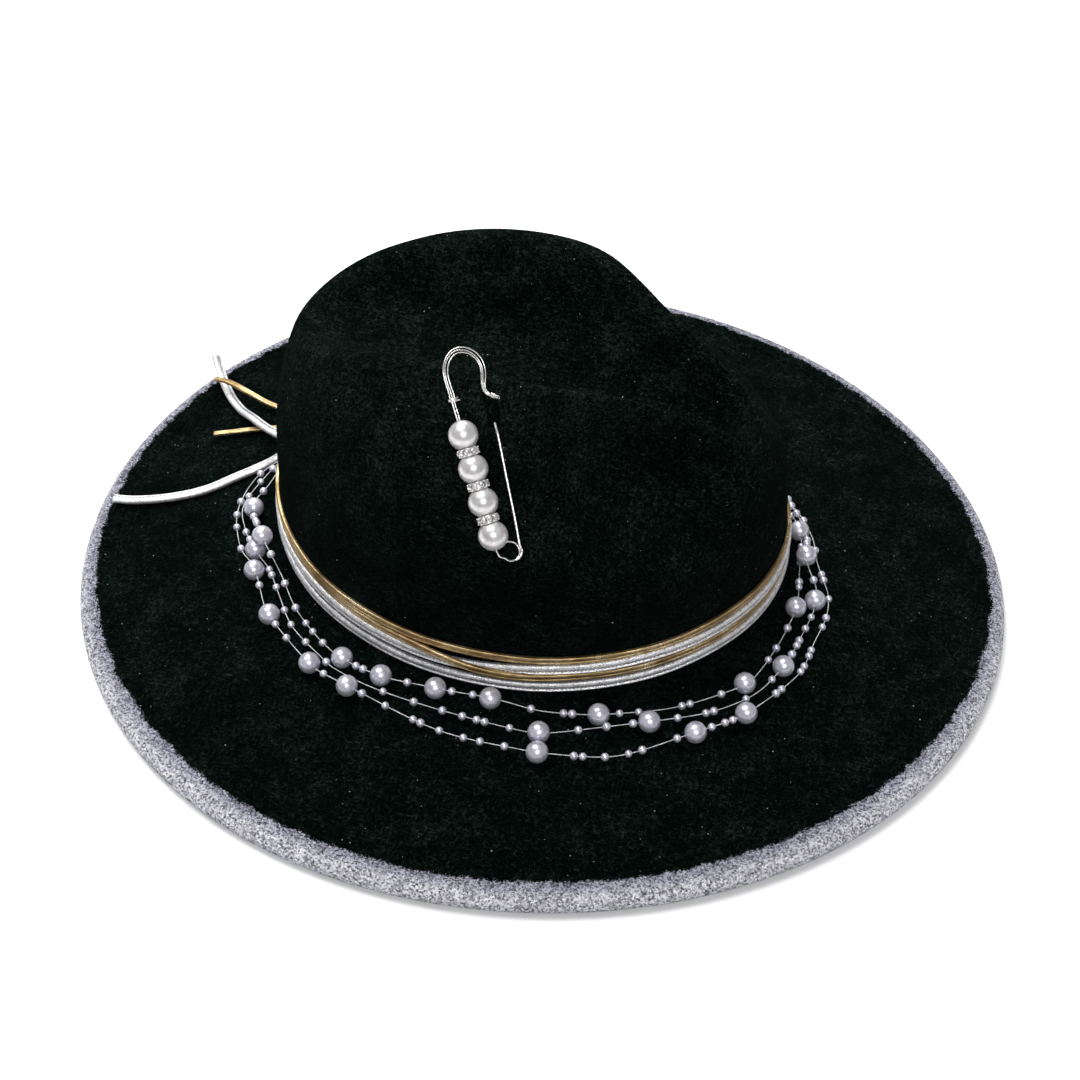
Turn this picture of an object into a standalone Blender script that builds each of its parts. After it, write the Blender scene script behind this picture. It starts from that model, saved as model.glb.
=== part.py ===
"""Wide-brim felt fedora: pinched teardrop crown, wound cord hatband, pearl garland and a beaded kilt pin.

Run with: blender --background --python part.py
Metres, +Z up, +X to the hat's front, +Y to the wearer's left. The hat rests on its hem at z = 0.
"""

import math

import bmesh
import bpy
import numpy as np
from mathutils import Matrix, Vector

# Felt body
BRIM_LENGTH = 0.360
BRIM_WIDTH = 0.3424
BRIM_TAPER = 0.0315       # the brim is a little narrower in front than behind
CROWN_SHIFT = -0.0045     # the crown sits this far behind the brim's middle
CROWN_A = 0.0985          # outer half-length of the crown at the hatband
CROWN_B = 0.0820          # outer half-width there
CROWN_FOOT = 0.0185       # height at which the crown's wall becomes straight
CREST_TOP = 0.124         # highest point of the crown's crest
FELT = 0.0025
HEM_RADIUS = 0.00375      # the rolled edge is two felts and the hoop thick
HEM_WIDTH = 0.0125        # how far the hem is turned back underneath
BRIM_ROOT = 0.0148        # height of the brim's top beside the crown
BRIM_EDGE = 0.0075        # and at its edge
AROUND = 52               # facets round the felt

# Profile of the crown, foot to crest: share of the way out to the foot, share of the way up to the crest
WALL = [(1, 0), (1, .12), (1, .26), (.985, .40), (.93, .53), (.83, .65), (.68, .76), (.48, .86),
        (.23, .945)]
PINCHED = [(1, 0), (1, .12), (1.01, .28), (1.03, .42), (1, .54), (.74, .58), (.36, .62), (.04, .72),
           (-.06, .87)]
# Profile of the dent in the top, crest to middle: share of the way in, share of the way down
DENT = [(.13, .02), (.27, .30), (.44, .64), (.63, .88), (.82, 1), (1, 1)]
PINCH_ANGLE = math.radians(51)
PINCH_SPREAD = math.radians(22)

# Hatband: each cord goes round twice and is knotted behind
BAND_TOP = 0.0362         # top edge of the upper turn, halfway between front and side
BAND_SWAY = 0.0029        # higher in front and behind, lower at the sides
BAND_GAP = 0.0006
GOLD_HEIGHT = 0.0032
GOLD_THICK = 0.0016
SILVER_HEIGHT = 0.0043
SILVER_THICK = 0.0022
GOLD_DROPS = (0.0016, 0.0100)
SILVER_DROPS = (0.0057, 0.0146)
GOLD_TAIL_RADIUS = 0.0012
SILVER_TAIL_RADIUS = 0.0017

# Tails: x, y and height above the brim's top, from the knot outwards
GOLD_TAIL_LONG = [(-.1115, .0265, .0105), (-.1180, .0300, .0060), (-.1275, .0330, .0030),
                  (-.1370, .0350, .0028), (-.1460, .0366, .0050), (-.1535, .0384, .0063),
                  (-.1600, .0400, .0066), (-.1655, .0410, .0058)]
GOLD_TAIL_SHORT = [(-.1118, .0205, .0070), (-.1190, .0222, .0020), (-.1270, .0218, .0016),
                   (-.1350, .0185, .0016), (-.1430, .0145, .0016), (-.1505, .0108, .0016)]
SILVER_TAIL_BACK = [(-.1142, .0108, .0062), (-.1205, .0132, .0059), (-.1290, .0168, .0056),
                    (-.1380, .0222, .0048), (-.1460, .0280, .0024), (-.1535, .0340, .0020),
                    (-.1610, .0415, .0022), (-.1670, .0480, .0050), (-.1715, .0530, .0090)]
SILVER_TAIL_SIDE = [(-.1145, -.0005, .0060), (-.1205, -.0045, .0030), (-.1280, -.0125, .0020),
                    (-.1350, -.0215, .0020), (-.1440, -.0285, .0020), (-.1540, -.0335, .0020),
                    (-.1630, -.0365, .0020), (-.1695, -.0380, .0025)]

# Garland: degrees round the crown from the front, distance out from it and height of the line above the
# brim in millimetres, and whether a large pearl is there
LINE_RADIUS = 0.00025
PEARL_RADIUS = 0.0040
PEARL_BORE = 0.0009
PEARL_REACH = 0.0045      # the line runs straight this far each side of a pearl's middle
STRAND_INNER = [(-176, 7, 6, 0), (-169, 9, 5, 0), (-162, 12.5, 4.4, 1), (-147, 9.5, 12, 1),
                (-137, 7.5, 6, 0), (-128, 9.5, 3, 0), (-119, 12, 3.5, 0), (-110, 14, 4.4, 1),
                (-101, 13, 4.4, 1), (-90, 10, 4.4, 1), (-79, 9, 4.4, 1), (-69, 11, 3, 0),
                (-58, 14, 4.4, 1), (-43, 15.5, 3, 0), (-28, 18, 4.4, 1), (-15, 13, 3, 0),
                (-3, 10, 4.4, 1), (10, 7, 3, 0), (23, 8, 4.4, 1), (34, 6, 3, 0), (48, 6.5, 3, 0),
                (68, 8.5, 4.4, 1), (86, 8, 3, 0), (104, 9, 4.4, 1), (124, 8, 3, 0), (143, 9, 4.4, 1),
                (158, 7, 5, 0)]
STRAND_MIDDLE = [(-174, 11, 5, 0), (-164, 17, 3, 0), (-156, 15.5, 3.5, 0), (-148, 12.5, 4.4, 1),
                 (-141, 10, 3.5, 0), (-133, 11.5, 3, 0), (-124, 15.5, 3, 0), (-114, 17.5, 3, 0),
                 (-109, 18.5, 3, 0), (-100, 18, 3, 0), (-86, 17.5, 3, 0), (-69, 21.5, 4.4, 1),
                 (-49, 20, 4.4, 1), (-37, 22, 3, 0), (-28, 23, 3, 0), (-19, 21, 4.4, 1), (-8, 17, 3, 0),
                 (1, 15.5, 4.4, 1), (6, 12, 8, 0), (11, 9, 10, 1), (17, 9.5, 9, 0), (24, 8, 9.5, 0),
                 (33, 8, 5.5, 0), (44, 9.5, 3, 0), (56, 14, 4.4, 1), (70, 14, 3, 0), (88, 15, 4.4, 1),
                 (110, 15, 3, 0), (128, 15, 4.4, 1), (146, 14, 3, 0), (159, 11, 5, 0)]
STRAND_OUTER = [(-172, 15, 5, 0), (-162, 19, 3, 0), (-151, 18, 3, 0), (-142, 15.5, 4.4, 1),
                (-129, 19.5, 4.4, 1), (-114, 23, 4.4, 1), (-105, 23, 4.4, 1), (-86, 26, 3, 0),
                (-69, 30, 4.4, 1), (-56, 31, 2.5, 0), (-42, 29, 4.4, 1), (-32, 29, 4.4, 1),
                (-18, 26.5, 3, 0), (-9, 22.5, 3, 0), (-2, 21.5, 3, 0), (4, 19.5, 3, 0), (9, 16, 3, 0),
                (14, 13.5, 3, 0), (21, 13, 3, 0), (28, 11.5, 3, 0), (35, 10, 3, 0), (44, 13, 3, 0),
                (56, 19.5, 3, 0), (72, 21, 4.4, 1), (92, 21.5, 3, 0), (114, 21, 4.4, 1),
                (138, 19.5, 3, 0), (154, 16.5, 4, 0), (163, 14, 6, 0)]

# Kilt pin, in its own plane: u across to the right, v up the needle, w out from the felt
PIN_PLACE = Vector((0.0249 + CROWN_SHIFT, -0.0793, 0.0835))
PIN_ACROSS = Vector((0.7400, 0.6539, -0.1572))
PIN_UP = Vector((-0.3709, 0.5918, 0.7157))
WIRE_RADIUS = 0.00055
NEEDLE_RADIUS = 0.0004
HEAD_RADIUS = 0.0009
COIL_RADIUS = 0.0028
ARM_FOOT = Vector((-0.0049, 0, 0.0005))
ARM_HEAD = Vector((-0.0143, 0.0529, 0.0010))
BEAD_RADIUS = 0.0051
BEAD_PITCH = 0.0117
BEAD_FIRST = 0.0060       # along the arm from its foot to the middle of the lowest pearl
BEAD_BORE = 0.00075
NEEDLE = [(.0028, .0015, .0013), (.0022, .012, .00125), (.0011, .027, .00095), (.00035, .038, .0008),
          (-.00005, .0435, 0), (-.0002, .047, -.0005), (-.0003, .0505, 0), (-.0004, .0535, .0005)]
HEAD = [(-.0145, .0547, .0010), (-.0152, .0580, .0010), (-.0156, .0615, .0009), (-.0149, .0648, .0006),
        (-.0131, .0675, .0003), (-.0106, .0690, 0), (-.0078, .0691, 0), (-.0052, .0680, 0),
        (-.0032, .0659, .0001), (-.0022, .0632, .0003), (-.0022, .0605, .0006), (-.0027, .0580, .0011),
        (-.0031, .0558, .0018), (-.0025, .0539, .0024), (-.0010, .0528, .0026), (.0006, .0524, .0023),
        (.0015, .0522, .0014)]

COLOURS = {
    "felt": ((0.008, 0.010, 0.009), 0.95, 0.0),
    "ribbon": ((0.010, 0.010, 0.011), 0.60, 0.0),
    "hoop": ((0.55, 0.55, 0.54), 0.45, 0.0),
    "gold_cord": ((0.72, 0.50, 0.24), 0.32, 0.8),
    "silver_cord": ((0.72, 0.73, 0.76), 0.30, 0.8),
    "line": ((0.85, 0.86, 0.88), 0.15, 0.0),
    "pearl": ((0.86, 0.83, 0.88), 0.18, 0.0),
    "steel": ((0.75, 0.75, 0.77), 0.15, 1.0),
    "crystal": ((0.80, 0.82, 0.86), 0.08, 0.6),
}


def clear_scene():
    for thing in list(bpy.data.objects):
        bpy.data.objects.remove(thing, do_unlink=True)


def make_collection(name, hidden=False):
    made = bpy.data.collections.new(name)
    bpy.context.scene.collection.children.link(made)
    made.hide_render = hidden
    return made


def colour(thing, kind):
    rgb, roughness, metallic = COLOURS[kind]
    material = bpy.data.materials.new(thing.name)
    material.use_nodes = True
    shader = material.node_tree.nodes["Principled BSDF"]
    shader.inputs["Base Color"].default_value = (*rgb, 1)
    shader.inputs["Roughness"].default_value = roughness
    shader.inputs["Metallic"].default_value = metallic
    material.diffuse_color = (*rgb, 1)
    thing.data.materials.clear()
    thing.data.materials.append(material)


def add_object(name, data, kind, home, parent=None):
    thing = bpy.data.objects.new(name, data)
    home.objects.link(thing)
    colour(thing, kind)
    thing.parent = parent
    return thing


# Shared curves

def ease(value):
    value = np.clip(value, 0, 1)
    return value * value * (3 - 2 * value)


def foot_oval(angle, out=0.0):
    """The crown's outline at the hatband, moved outwards along its own normal."""
    c, s = np.cos(angle), np.sin(angle)
    across = np.hypot(CROWN_B * c, CROWN_A * s)
    x = CROWN_SHIFT + CROWN_A * c + out * CROWN_B * c / across
    y = CROWN_B * s + out * CROWN_A * s / across
    return x, y


def brim_oval(angle, inset=0.0):
    """The brim's outline, moved inwards along its own normal."""
    a, b = BRIM_LENGTH / 2, BRIM_WIDTH / 2
    c, s = np.cos(angle), np.sin(angle)
    dx = -a * s
    dy = b * (c - BRIM_TAPER * (c * c - s * s))
    run = np.hypot(dx, dy)
    return a * c - inset * dy / run, b * s * (1 - BRIM_TAPER * c) + inset * dx / run


def brim_height(out):
    """Height of the brim's top, this far out from the crown."""
    return BRIM_ROOT - (BRIM_ROOT - BRIM_EDGE) * np.clip((out - 0.003) / 0.080, -0.1, 1)


def crest(angle):
    c, s = np.cos(angle), np.sin(angle)
    x = -0.001 + 0.088 * c
    half_width = 0.0285 + 0.0155 / (1 + np.exp((c - 0.40) / 0.11)) + 0.016 * np.minimum(c, 0) ** 2
    z = CREST_TOP - 3.4 * (x + 0.006) ** 2 + 0.002 * ease((-x - 0.06) / 0.03)
    return CROWN_SHIFT + x, s * half_width, z


def dent_floor(angle):
    x = 0.006 + 0.060 * np.cos(angle)
    return CROWN_SHIFT + x, 0.0955 - 0.0075 * ease((x + 0.055) / 0.125)


def pinch_share(angle):
    """1 in the middle of the pinch in each front side, 0 away from it."""
    from_front = np.abs((angle + math.pi) % (2 * math.pi) - math.pi)
    return np.exp(-(np.abs(from_front - PINCH_ANGLE) / PINCH_SPREAD) ** 2.8)


def crown_controls(angle):
    """Control points of the crown's profile at these angles, foot to middle of the dent."""
    fx, fy = foot_oval(angle)
    cx, cy, cz = crest(angle)
    dx, dz = dent_floor(angle)
    pinched = pinch_share(angle)
    points = []
    for (out, up), (out_in, up_in) in zip(WALL, PINCHED):
        o = out + (out_in - out) * pinched
        u = up + (up_in - up) * pinched
        points.append((cx + (fx - cx) * o, cy + (fy - cy) * o, CROWN_FOOT + (cz - CROWN_FOOT) * u))
    points.append((cx, cy, cz + 0.001))
    for inwards, down in DENT:
        points.append((cx + (dx - cx) * inwards, cy * (1 - inwards), cz + (dz - cz) * down))
    return np.array(points)


def spline(points, share):
    """A clamped cubic B-spline through control points, at share 0 to 1 of its length."""
    points = np.concatenate([points[:1], points[:1], points, points[-1:], points[-1:]])
    spans = len(points) - 3
    place = share * spans
    i = min(int(place), spans - 1)
    f = place - i
    weights = ((1 - f) ** 3, 3 * f ** 3 - 6 * f * f + 4, 3 * f * (1 + f - f * f) + 1, f ** 3)
    return sum(w * points[i + k] for k, w in enumerate(weights)) / 6


# Felt

def felt_rings(angle):
    """Rings of points from the dent's middle, over the crest, down the wall and out to the hem's end."""
    controls = crown_controls(angle)
    shares = (1, .86, .77, .70, .645, .60, .565, .53, .48, .43, .375, .32, .25, .17)
    rings = [spline(controls, share) for share in shares]
    level = np.ones_like(angle)
    for out, height in ((0, CROWN_FOOT), (.0008, .0160), (.0030, BRIM_ROOT)):
        x, y = foot_oval(angle, out)
        rings.append(np.array((x, y, height * level)))
    inner = rings[-1]
    outer = np.array((*brim_oval(angle, 0.0135), BRIM_EDGE * level + 0.0006))
    rings.append(inner + (outer - inner) * 0.5)
    rings.append(outer)
    rings.append(np.array((*brim_oval(angle, 0.0120), BRIM_EDGE * level - 0.0003)))
    rings.append(np.array((*brim_oval(angle, 0.0100), BRIM_EDGE * level)))
    for degrees in (90, 50, 15, -20, -55, -90):
        turn = math.radians(degrees)
        x, y = brim_oval(angle, HEM_RADIUS * (1 - math.cos(turn)))
        rings.append(np.array((x, y, HEM_RADIUS * (1 + math.sin(turn)) * level)))
    rings[-1][2] = 0
    rings.append(np.array((*brim_oval(angle, HEM_WIDTH), 0 * level)))
    return rings


def make_felt(home):
    """The outer skin is lofted ring to ring and given the felt's thickness inwards."""
    angle = np.linspace(0, 2 * math.pi, AROUND, endpoint=False)
    rings = felt_rings(angle)
    build = bmesh.new()
    middle = [build.verts.new(rings[0][:, i]) for i in range(AROUND // 2 + 1)]
    inner = [middle[min(i, AROUND - i)] for i in range(AROUND)]
    for ring in rings[1:]:
        outer = [build.verts.new(ring[:, i]) for i in range(AROUND)]
        for i in range(AROUND):
            k = (i + 1) % AROUND
            build.faces.new((inner[i], outer[i], outer[k], inner[k]))
        inner = outer
    mesh = bpy.data.meshes.new("felt_body")
    build.to_mesh(mesh)
    build.free()
    felt = add_object("felt_body", mesh, "felt", home)
    shell = felt.modifiers.new("thickness", "SOLIDIFY")
    shell.thickness = FELT
    shell.offset = -1
    shell.use_even_offset = True
    return felt


def bent_ring(name, kind, home, segments, sides, place):
    """A torus with its points moved by place(angle, out, up); out and up are -1 to 1 over its section."""
    bpy.ops.mesh.primitive_torus_add(major_segments=segments, minor_segments=sides, major_radius=2,
                                     minor_radius=1)
    ring = bpy.context.object
    ring.name = name
    for vertex in ring.data.vertices:
        x, y, z = vertex.co
        vertex.co = place(math.atan2(y, x), math.hypot(x, y) - 2, z)
    for holder in list(ring.users_collection):
        holder.objects.unlink(ring)
    home.objects.link(ring)
    colour(ring, kind)
    return ring


def band_edge(angle):
    return BAND_TOP + BAND_SWAY * math.cos(2 * angle)


def make_hatband(home):
    turns = [("gold", drop, GOLD_HEIGHT, GOLD_THICK) for drop in GOLD_DROPS]
    turns += [("silver", drop, SILVER_HEIGHT, SILVER_THICK) for drop in SILVER_DROPS]
    for count, (metal, drop, height, thick) in enumerate(turns):
        def place(angle, out, up, drop=drop, height=height, thick=thick):
            x, y = foot_oval(angle, BAND_GAP + thick / 2 * (1 + out))
            return x, y, band_edge(angle) - drop + up * height / 2
        name = f"{metal}_turn_{'lower' if count % 2 else 'upper'}"
        bent_ring(name, f"{metal}_cord", home, AROUND, 6, place)


def make_hoop(home):
    """The round plastic hoop that keeps the brim's edge stiff, inside the rolled hem."""
    def place(angle, out, up):
        x, y = brim_oval(angle, HEM_RADIUS - out * 0.0008)
        return x, y, HEM_RADIUS + up * 0.0008
    bent_ring("brim_hoop", "hoop", home, AROUND, 6, place)


def make_sweatband(home):
    """A flat ribbon just inside the crown's foot."""
    def place(angle, out, up):
        side = 1 if out + up > 0 else -1
        level = 1 if up - out > 0 else -1
        x, y = foot_oval(angle, -FELT - 0.0012 + 0.0006 * side)
        return x, y, 0.0320 + 0.0160 * level
    bent_ring("sweatband", "ribbon", home, AROUND, 4, place)


# Cords and line

def smooth_route(points, spacing):
    """A Catmull-Rom curve through the route's points, with even steps inside each stretch."""
    points = [Vector(p) for p in points]
    ends = [points[0] * 2 - points[1]] + points + [points[-1] * 2 - points[-2]]
    route = []
    for i in range(1, len(ends) - 2):
        a, b, c, d = ends[i - 1:i + 3]
        steps = max(1, round((c - b).length / spacing))
        for k in range(steps):
            t = k / steps
            route.append(0.5 * (2 * b + (c - a) * t + (2 * a - 5 * b + 4 * c - d) * t * t
                                + (3 * b - a - 3 * c + d) * t ** 3))
    route.append(points[-1])
    return route


def make_tube(name, kind, home, route, radius, parent=None):
    curve = bpy.data.curves.new(name, "CURVE")
    curve.dimensions = "3D"
    curve.bevel_depth = radius
    curve.bevel_resolution = 2
    curve.use_fill_caps = True
    line = curve.splines.new("POLY")
    line.points.add(len(route) - 1)
    for point, place in zip(line.points, route):
        point.co = (*place, 1)
    return add_object(name, curve, kind, home, parent)


def on_brim(x, y, lift):
    """A point this high above the brim's top."""
    angle = math.atan2(y / CROWN_B, (x - CROWN_SHIFT) / CROWN_A)
    fx, fy = foot_oval(angle)
    return Vector((x, y, brim_height(math.hypot(x - fx, y - fy)) + lift))


def make_tails(home):
    tails = (("gold_tail_long", GOLD_TAIL_LONG, GOLD_TAIL_RADIUS),
             ("gold_tail_short", GOLD_TAIL_SHORT, GOLD_TAIL_RADIUS),
             ("silver_tail_back", SILVER_TAIL_BACK, SILVER_TAIL_RADIUS),
             ("silver_tail_side", SILVER_TAIL_SIDE, SILVER_TAIL_RADIUS))
    for name, points, radius in tails:
        route = smooth_route([on_brim(*p) for p in points], 0.005)
        make_tube(name, name.split("_")[0] + "_cord", home, route, radius)


def make_knots(home):
    """Each cord's flat knot is a small rounded lump against its turns, behind the crown."""
    knots = (("gold_knot", (-.1068, .0245, .0288), (.0036, .0052, .0042)),
             ("silver_knot", (-.1100, .0055, .0238), (.0036, .0068, .0052)))
    for name, place, half in knots:
        bpy.ops.mesh.primitive_uv_sphere_add(segments=12, ring_count=8, radius=1, location=place)
        knot = bpy.context.object
        knot.name = name
        knot.scale = half
        for holder in list(knot.users_collection):
            holder.objects.unlink(knot)
        home.objects.link(knot)
        colour(knot, name.split("_")[0] + "_cord")


def garland_point(degrees, out, lift):
    x, y = foot_oval(math.radians(degrees), out / 1000)
    return Vector((x, y, brim_height(out / 1000) + lift / 1000))


def turned(name, kind, home, profile, steps, parent=None):
    """A ring-shaped solid turned about local Z from a closed outline of (radius, height)."""
    mesh = bpy.data.meshes.new(name)
    count = len(profile)
    mesh.from_pydata([(r, 0, z) for r, z in profile], [(i, (i + 1) % count) for i in range(count)], [])
    thing = add_object(name, mesh, kind, home, parent)
    screw = thing.modifiers.new("turn", "SCREW")
    screw.steps = steps
    screw.render_steps = steps
    screw.use_merge_vertices = True
    screw.merge_threshold = 0.00001
    return thing


def bored_ball(radius, bore, points):
    end = math.acos(bore / radius)
    turns = [end - 2 * end * i / (points - 1) for i in range(points)]
    return [(radius * math.cos(t), radius * math.sin(t)) for t in turns]


def thread(stations):
    """The strand's route, straight through each large pearl, and each pearl's place and direction."""
    points = [garland_point(*station[:3]) for station in stations]
    route, pearls = [], []
    for i, (place, station) in enumerate(zip(points, stations)):
        if not station[3]:
            route.append(place)
            continue
        direction = (points[i + 1] - points[i - 1]).normalized()
        route += [place - direction * PEARL_REACH, place + direction * PEARL_REACH]
        pearls.append((place, direction))
    return route, pearls


def make_garland(home):
    count = 0
    for label, stations in (("inner", STRAND_INNER), ("middle", STRAND_MIDDLE), ("outer", STRAND_OUTER)):
        route, pearls = thread(stations)
        make_tube(f"strand_{label}", "line", home, smooth_route(route, 0.016), LINE_RADIUS)
        for place, direction in pearls:
            count += 1
            pearl = turned(f"pearl_{count:02d}", "pearl", home, bored_ball(PEARL_RADIUS, PEARL_BORE, 7), 8)
            pearl.location = place
            pearl.rotation_euler = direction.to_track_quat("Z", "Y").to_euler()


# Kilt pin

def make_pin_frame(home):
    """An empty on the coil's axis, its X, Y and Z along the pin's u, v and w."""
    across = PIN_ACROSS.normalized()
    up = (PIN_UP - across * PIN_UP.dot(across)).normalized()
    out = across.cross(up)
    frame = bpy.data.objects.new("pin_frame", None)
    home.objects.link(frame)
    frame.matrix_world = Matrix.Translation(PIN_PLACE) @ Matrix((across, up, out)).transposed().to_4x4()
    return frame


def coil_points(start, end, low, high):
    steps = round(abs(end - start) / 24)
    points = []
    for i in range(steps + 1):
        share = i / steps
        turn = math.radians(start + (end - start) * share)
        height = low + (high - low) * share
        points.append(Vector((COIL_RADIUS * math.cos(turn), COIL_RADIUS * math.sin(turn), height)))
    return points


def make_pin(home, frame):
    """The arm and the needle each end in one turn of the coil, side by side on its axis."""
    arm = [ARM_HEAD, ARM_HEAD.lerp(ARM_FOOT, 0.5)]
    bend = [ARM_FOOT + Vector((0, .0003, 0)), Vector((-.0041, -.0016, 0))]
    make_tube("pin_arm", "steel", home, arm + bend + coil_points(230, 440, 0, -.0013), WIRE_RADIUS, frame)
    needle = coil_points(-190, 0, .0023, .0013) + smooth_route(NEEDLE, 0.006)
    make_tube("pin_needle", "steel", home, needle, NEEDLE_RADIUS, frame)
    make_tube("pin_head", "steel", home, [Vector(p) for p in HEAD], HEAD_RADIUS, frame)
    ring = [(.0008, .0006), (.0016, .0006), (.0016, -.0006), (.0008, -.0006)]
    collar = turned("pin_collar", "steel", home, ring, 10, frame)
    set_on_arm(collar, (ARM_HEAD - ARM_FOOT).length - 0.0008)


def set_on_arm(thing, along):
    direction = (ARM_HEAD - ARM_FOOT).normalized()
    thing.location = ARM_FOOT + direction * along
    thing.rotation_euler = direction.to_track_quat("Z", "Y").to_euler()


def make_beads(home, frame):
    """Four pearls with three rhinestone rondelles between them, all free on the arm."""
    rondelle = [(.00075, .0004), (.0027, .0004), (.0027, .0009), (.0039, .0009),
                (.0039, -.0009), (.0027, -.0009), (.0027, -.0004), (.00075, -.0004)]
    for i in range(4):
        bead = turned(f"bead_pearl_{i + 1}", "pearl", home, bored_ball(BEAD_RADIUS, BEAD_BORE, 9), 12, frame)
        set_on_arm(bead, BEAD_FIRST + BEAD_PITCH * i)
    for i in range(3):
        ring = turned(f"bead_rondelle_{i + 1}", "crystal", home, rondelle, 12, frame)
        set_on_arm(ring, BEAD_FIRST + BEAD_PITCH * (i + 0.5))


def cut_needle_slot(felt, cutters, frame):
    """Room for the needle to pass under the felt's skin and to swing out of the clasp."""
    bpy.ops.mesh.primitive_cube_add(size=1)
    cutter = bpy.context.object
    cutter.name = "needle_slot"
    cutter.parent = frame
    cutter.location = (-0.0013, 0.0466, -0.0003)
    cutter.scale = (0.0048, 0.0112, 0.0084)
    cutter.hide_render = True
    cutter.display_type = "WIRE"
    for holder in list(cutter.users_collection):
        holder.objects.unlink(cutter)
    cutters.objects.link(cutter)
    cut = felt.modifiers.new("needle slot", "BOOLEAN")
    cut.operation = "DIFFERENCE"
    cut.solver = "EXACT"
    cut.object = cutter


def main():
    clear_scene()
    home = make_collection("fedora")
    cutters = make_collection("cutters", hidden=True)
    felt = make_felt(home)
    make_hoop(home)
    make_sweatband(home)
    make_hatband(home)
    make_knots(home)
    make_tails(home)
    make_garland(home)
    frame = make_pin_frame(home)
    make_pin(home, frame)
    make_beads(home, frame)
    cut_needle_slot(felt, cutters, frame)


main()
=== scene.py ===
import math

import bmesh
import bpy
import numpy as np
from mathutils import Matrix, Vector
from mathutils.bvhtree import BVHTree


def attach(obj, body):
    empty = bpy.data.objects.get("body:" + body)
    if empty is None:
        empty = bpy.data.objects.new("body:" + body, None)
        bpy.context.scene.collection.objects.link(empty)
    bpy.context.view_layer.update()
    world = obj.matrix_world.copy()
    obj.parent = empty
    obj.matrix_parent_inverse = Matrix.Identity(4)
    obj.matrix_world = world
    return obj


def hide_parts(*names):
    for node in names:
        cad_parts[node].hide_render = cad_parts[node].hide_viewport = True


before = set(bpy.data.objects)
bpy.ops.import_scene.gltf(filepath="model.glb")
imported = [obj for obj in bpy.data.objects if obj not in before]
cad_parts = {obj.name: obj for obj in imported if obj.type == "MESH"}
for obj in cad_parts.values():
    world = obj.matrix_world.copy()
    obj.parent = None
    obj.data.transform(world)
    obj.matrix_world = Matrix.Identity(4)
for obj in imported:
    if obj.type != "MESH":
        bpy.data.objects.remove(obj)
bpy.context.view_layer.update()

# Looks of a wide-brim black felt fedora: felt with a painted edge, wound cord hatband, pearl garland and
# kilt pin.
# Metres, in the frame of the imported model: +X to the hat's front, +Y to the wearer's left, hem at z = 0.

# Camera, at the angle the hat is seen from
CAMERA_PLACE = Vector((0.2124, -0.5368, 0.5520))
CAMERA_AIM = Vector((-0.0033, 0.0066, 0.0059))
CAMERA_LENS = 67.48
CAMERA_SENSOR = 36

# Felt body, as in the design
BRIM_LENGTH = 0.360
BRIM_WIDTH = 0.3424
BRIM_TAPER = 0.0315
CROWN_SHIFT = -0.0045
CROWN_A = 0.0985
CROWN_B = 0.0820
CROWN_FOOT = 0.0185
CREST_TOP = 0.124
FELT = 0.0025
HEM_RADIUS = 0.00375
HEM_WIDTH = 0.0125
BRIM_ROOT = 0.0148
BRIM_EDGE = 0.0075
FOOT_BEND = 0.0036        # radius of the bend between crown and brim
AROUND = 256              # points round the felt
NAP_FIBRES = 46000
NAP_LENGTH = (0.0004, 0.0011)
HEM_STITCHES = 340
HEM_STITCH_INSET = 0.0112
SWEATBAND_MIDDLE = 0.0320     # height of the sweatband's middle
WALL = [(1, 0), (1, .12), (1, .26), (.985, .40), (.93, .53), (.83, .65), (.68, .76), (.48, .86), (.23, .945)]
PINCHED = [(1, 0), (1, .12), (1.01, .28), (1.03, .42), (1, .54), (.74, .58), (.36, .62), (.04, .72),
           (-.06, .87)]
DENT = [(.13, .02), (.27, .30), (.44, .64), (.63, .88), (.82, 1), (1, 1)]
PINCH_ANGLE = math.radians(51)
PINCH_SPREAD = math.radians(22)

# Painted edge: how far the glitter reaches in from the brim's edge, seen from above
PAINT_TOP = 0.0052
PAINT_NEAR = 0.0036       # further in on the side of the pin
PAINT_UNDER = 0.0050      # round the roll, down from its widest point

# Hatband, as in the design
BAND_TOP = 0.0362
BAND_SWAY = 0.0029
BAND_GAP = 0.0006
GOLD_HEIGHT = 0.0032
GOLD_THICK = 0.0016
SILVER_HEIGHT = 0.0043
SILVER_THICK = 0.0022
# Depth of each turn below the band's top edge, before and after the gold crosses over the silver
GOLD_DROPS = {"upper": (0.0016, 0.0016), "lower": (0.0100, 0.0047)}
SILVER_DROPS = {"upper": (0.0057, 0.0088), "lower": (0.0146, 0.0149)}
CROSS_NEAR = -82          # degrees from the front where the cords cross
CROSS_FAR = 140
CROSS_SPREAD = 19
STITCH_STEP = 0.0014

# Tails: x, y and height of the middle above the brim's top, from the knot outwards
GOLD_TAIL_LONG = [(-.1115, .0265, .0105), (-.1180, .0300, .0060), (-.1275, .0330, .0030),
                  (-.1370, .0350, .0028), (-.1460, .0366, .0050), (-.1535, .0384, .0063),
                  (-.1600, .0400, .0066), (-.1655, .0410, .0058)]
GOLD_TAIL_SHORT = [(-.1118, .0205, .0070), (-.1190, .0222, .0020), (-.1270, .0218, .0016),
                   (-.1350, .0185, .0016), (-.1430, .0145, .0016), (-.1505, .0108, .0016)]
SILVER_TAIL_BACK = [(-.1142, .0108, .0062), (-.1205, .0132, .0059), (-.1290, .0168, .0056),
                    (-.1380, .0222, .0048), (-.1460, .0280, .0024), (-.1535, .0340, .0020),
                    (-.1610, .0415, .0022), (-.1670, .0480, .0050), (-.1715, .0530, .0090)]
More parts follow.
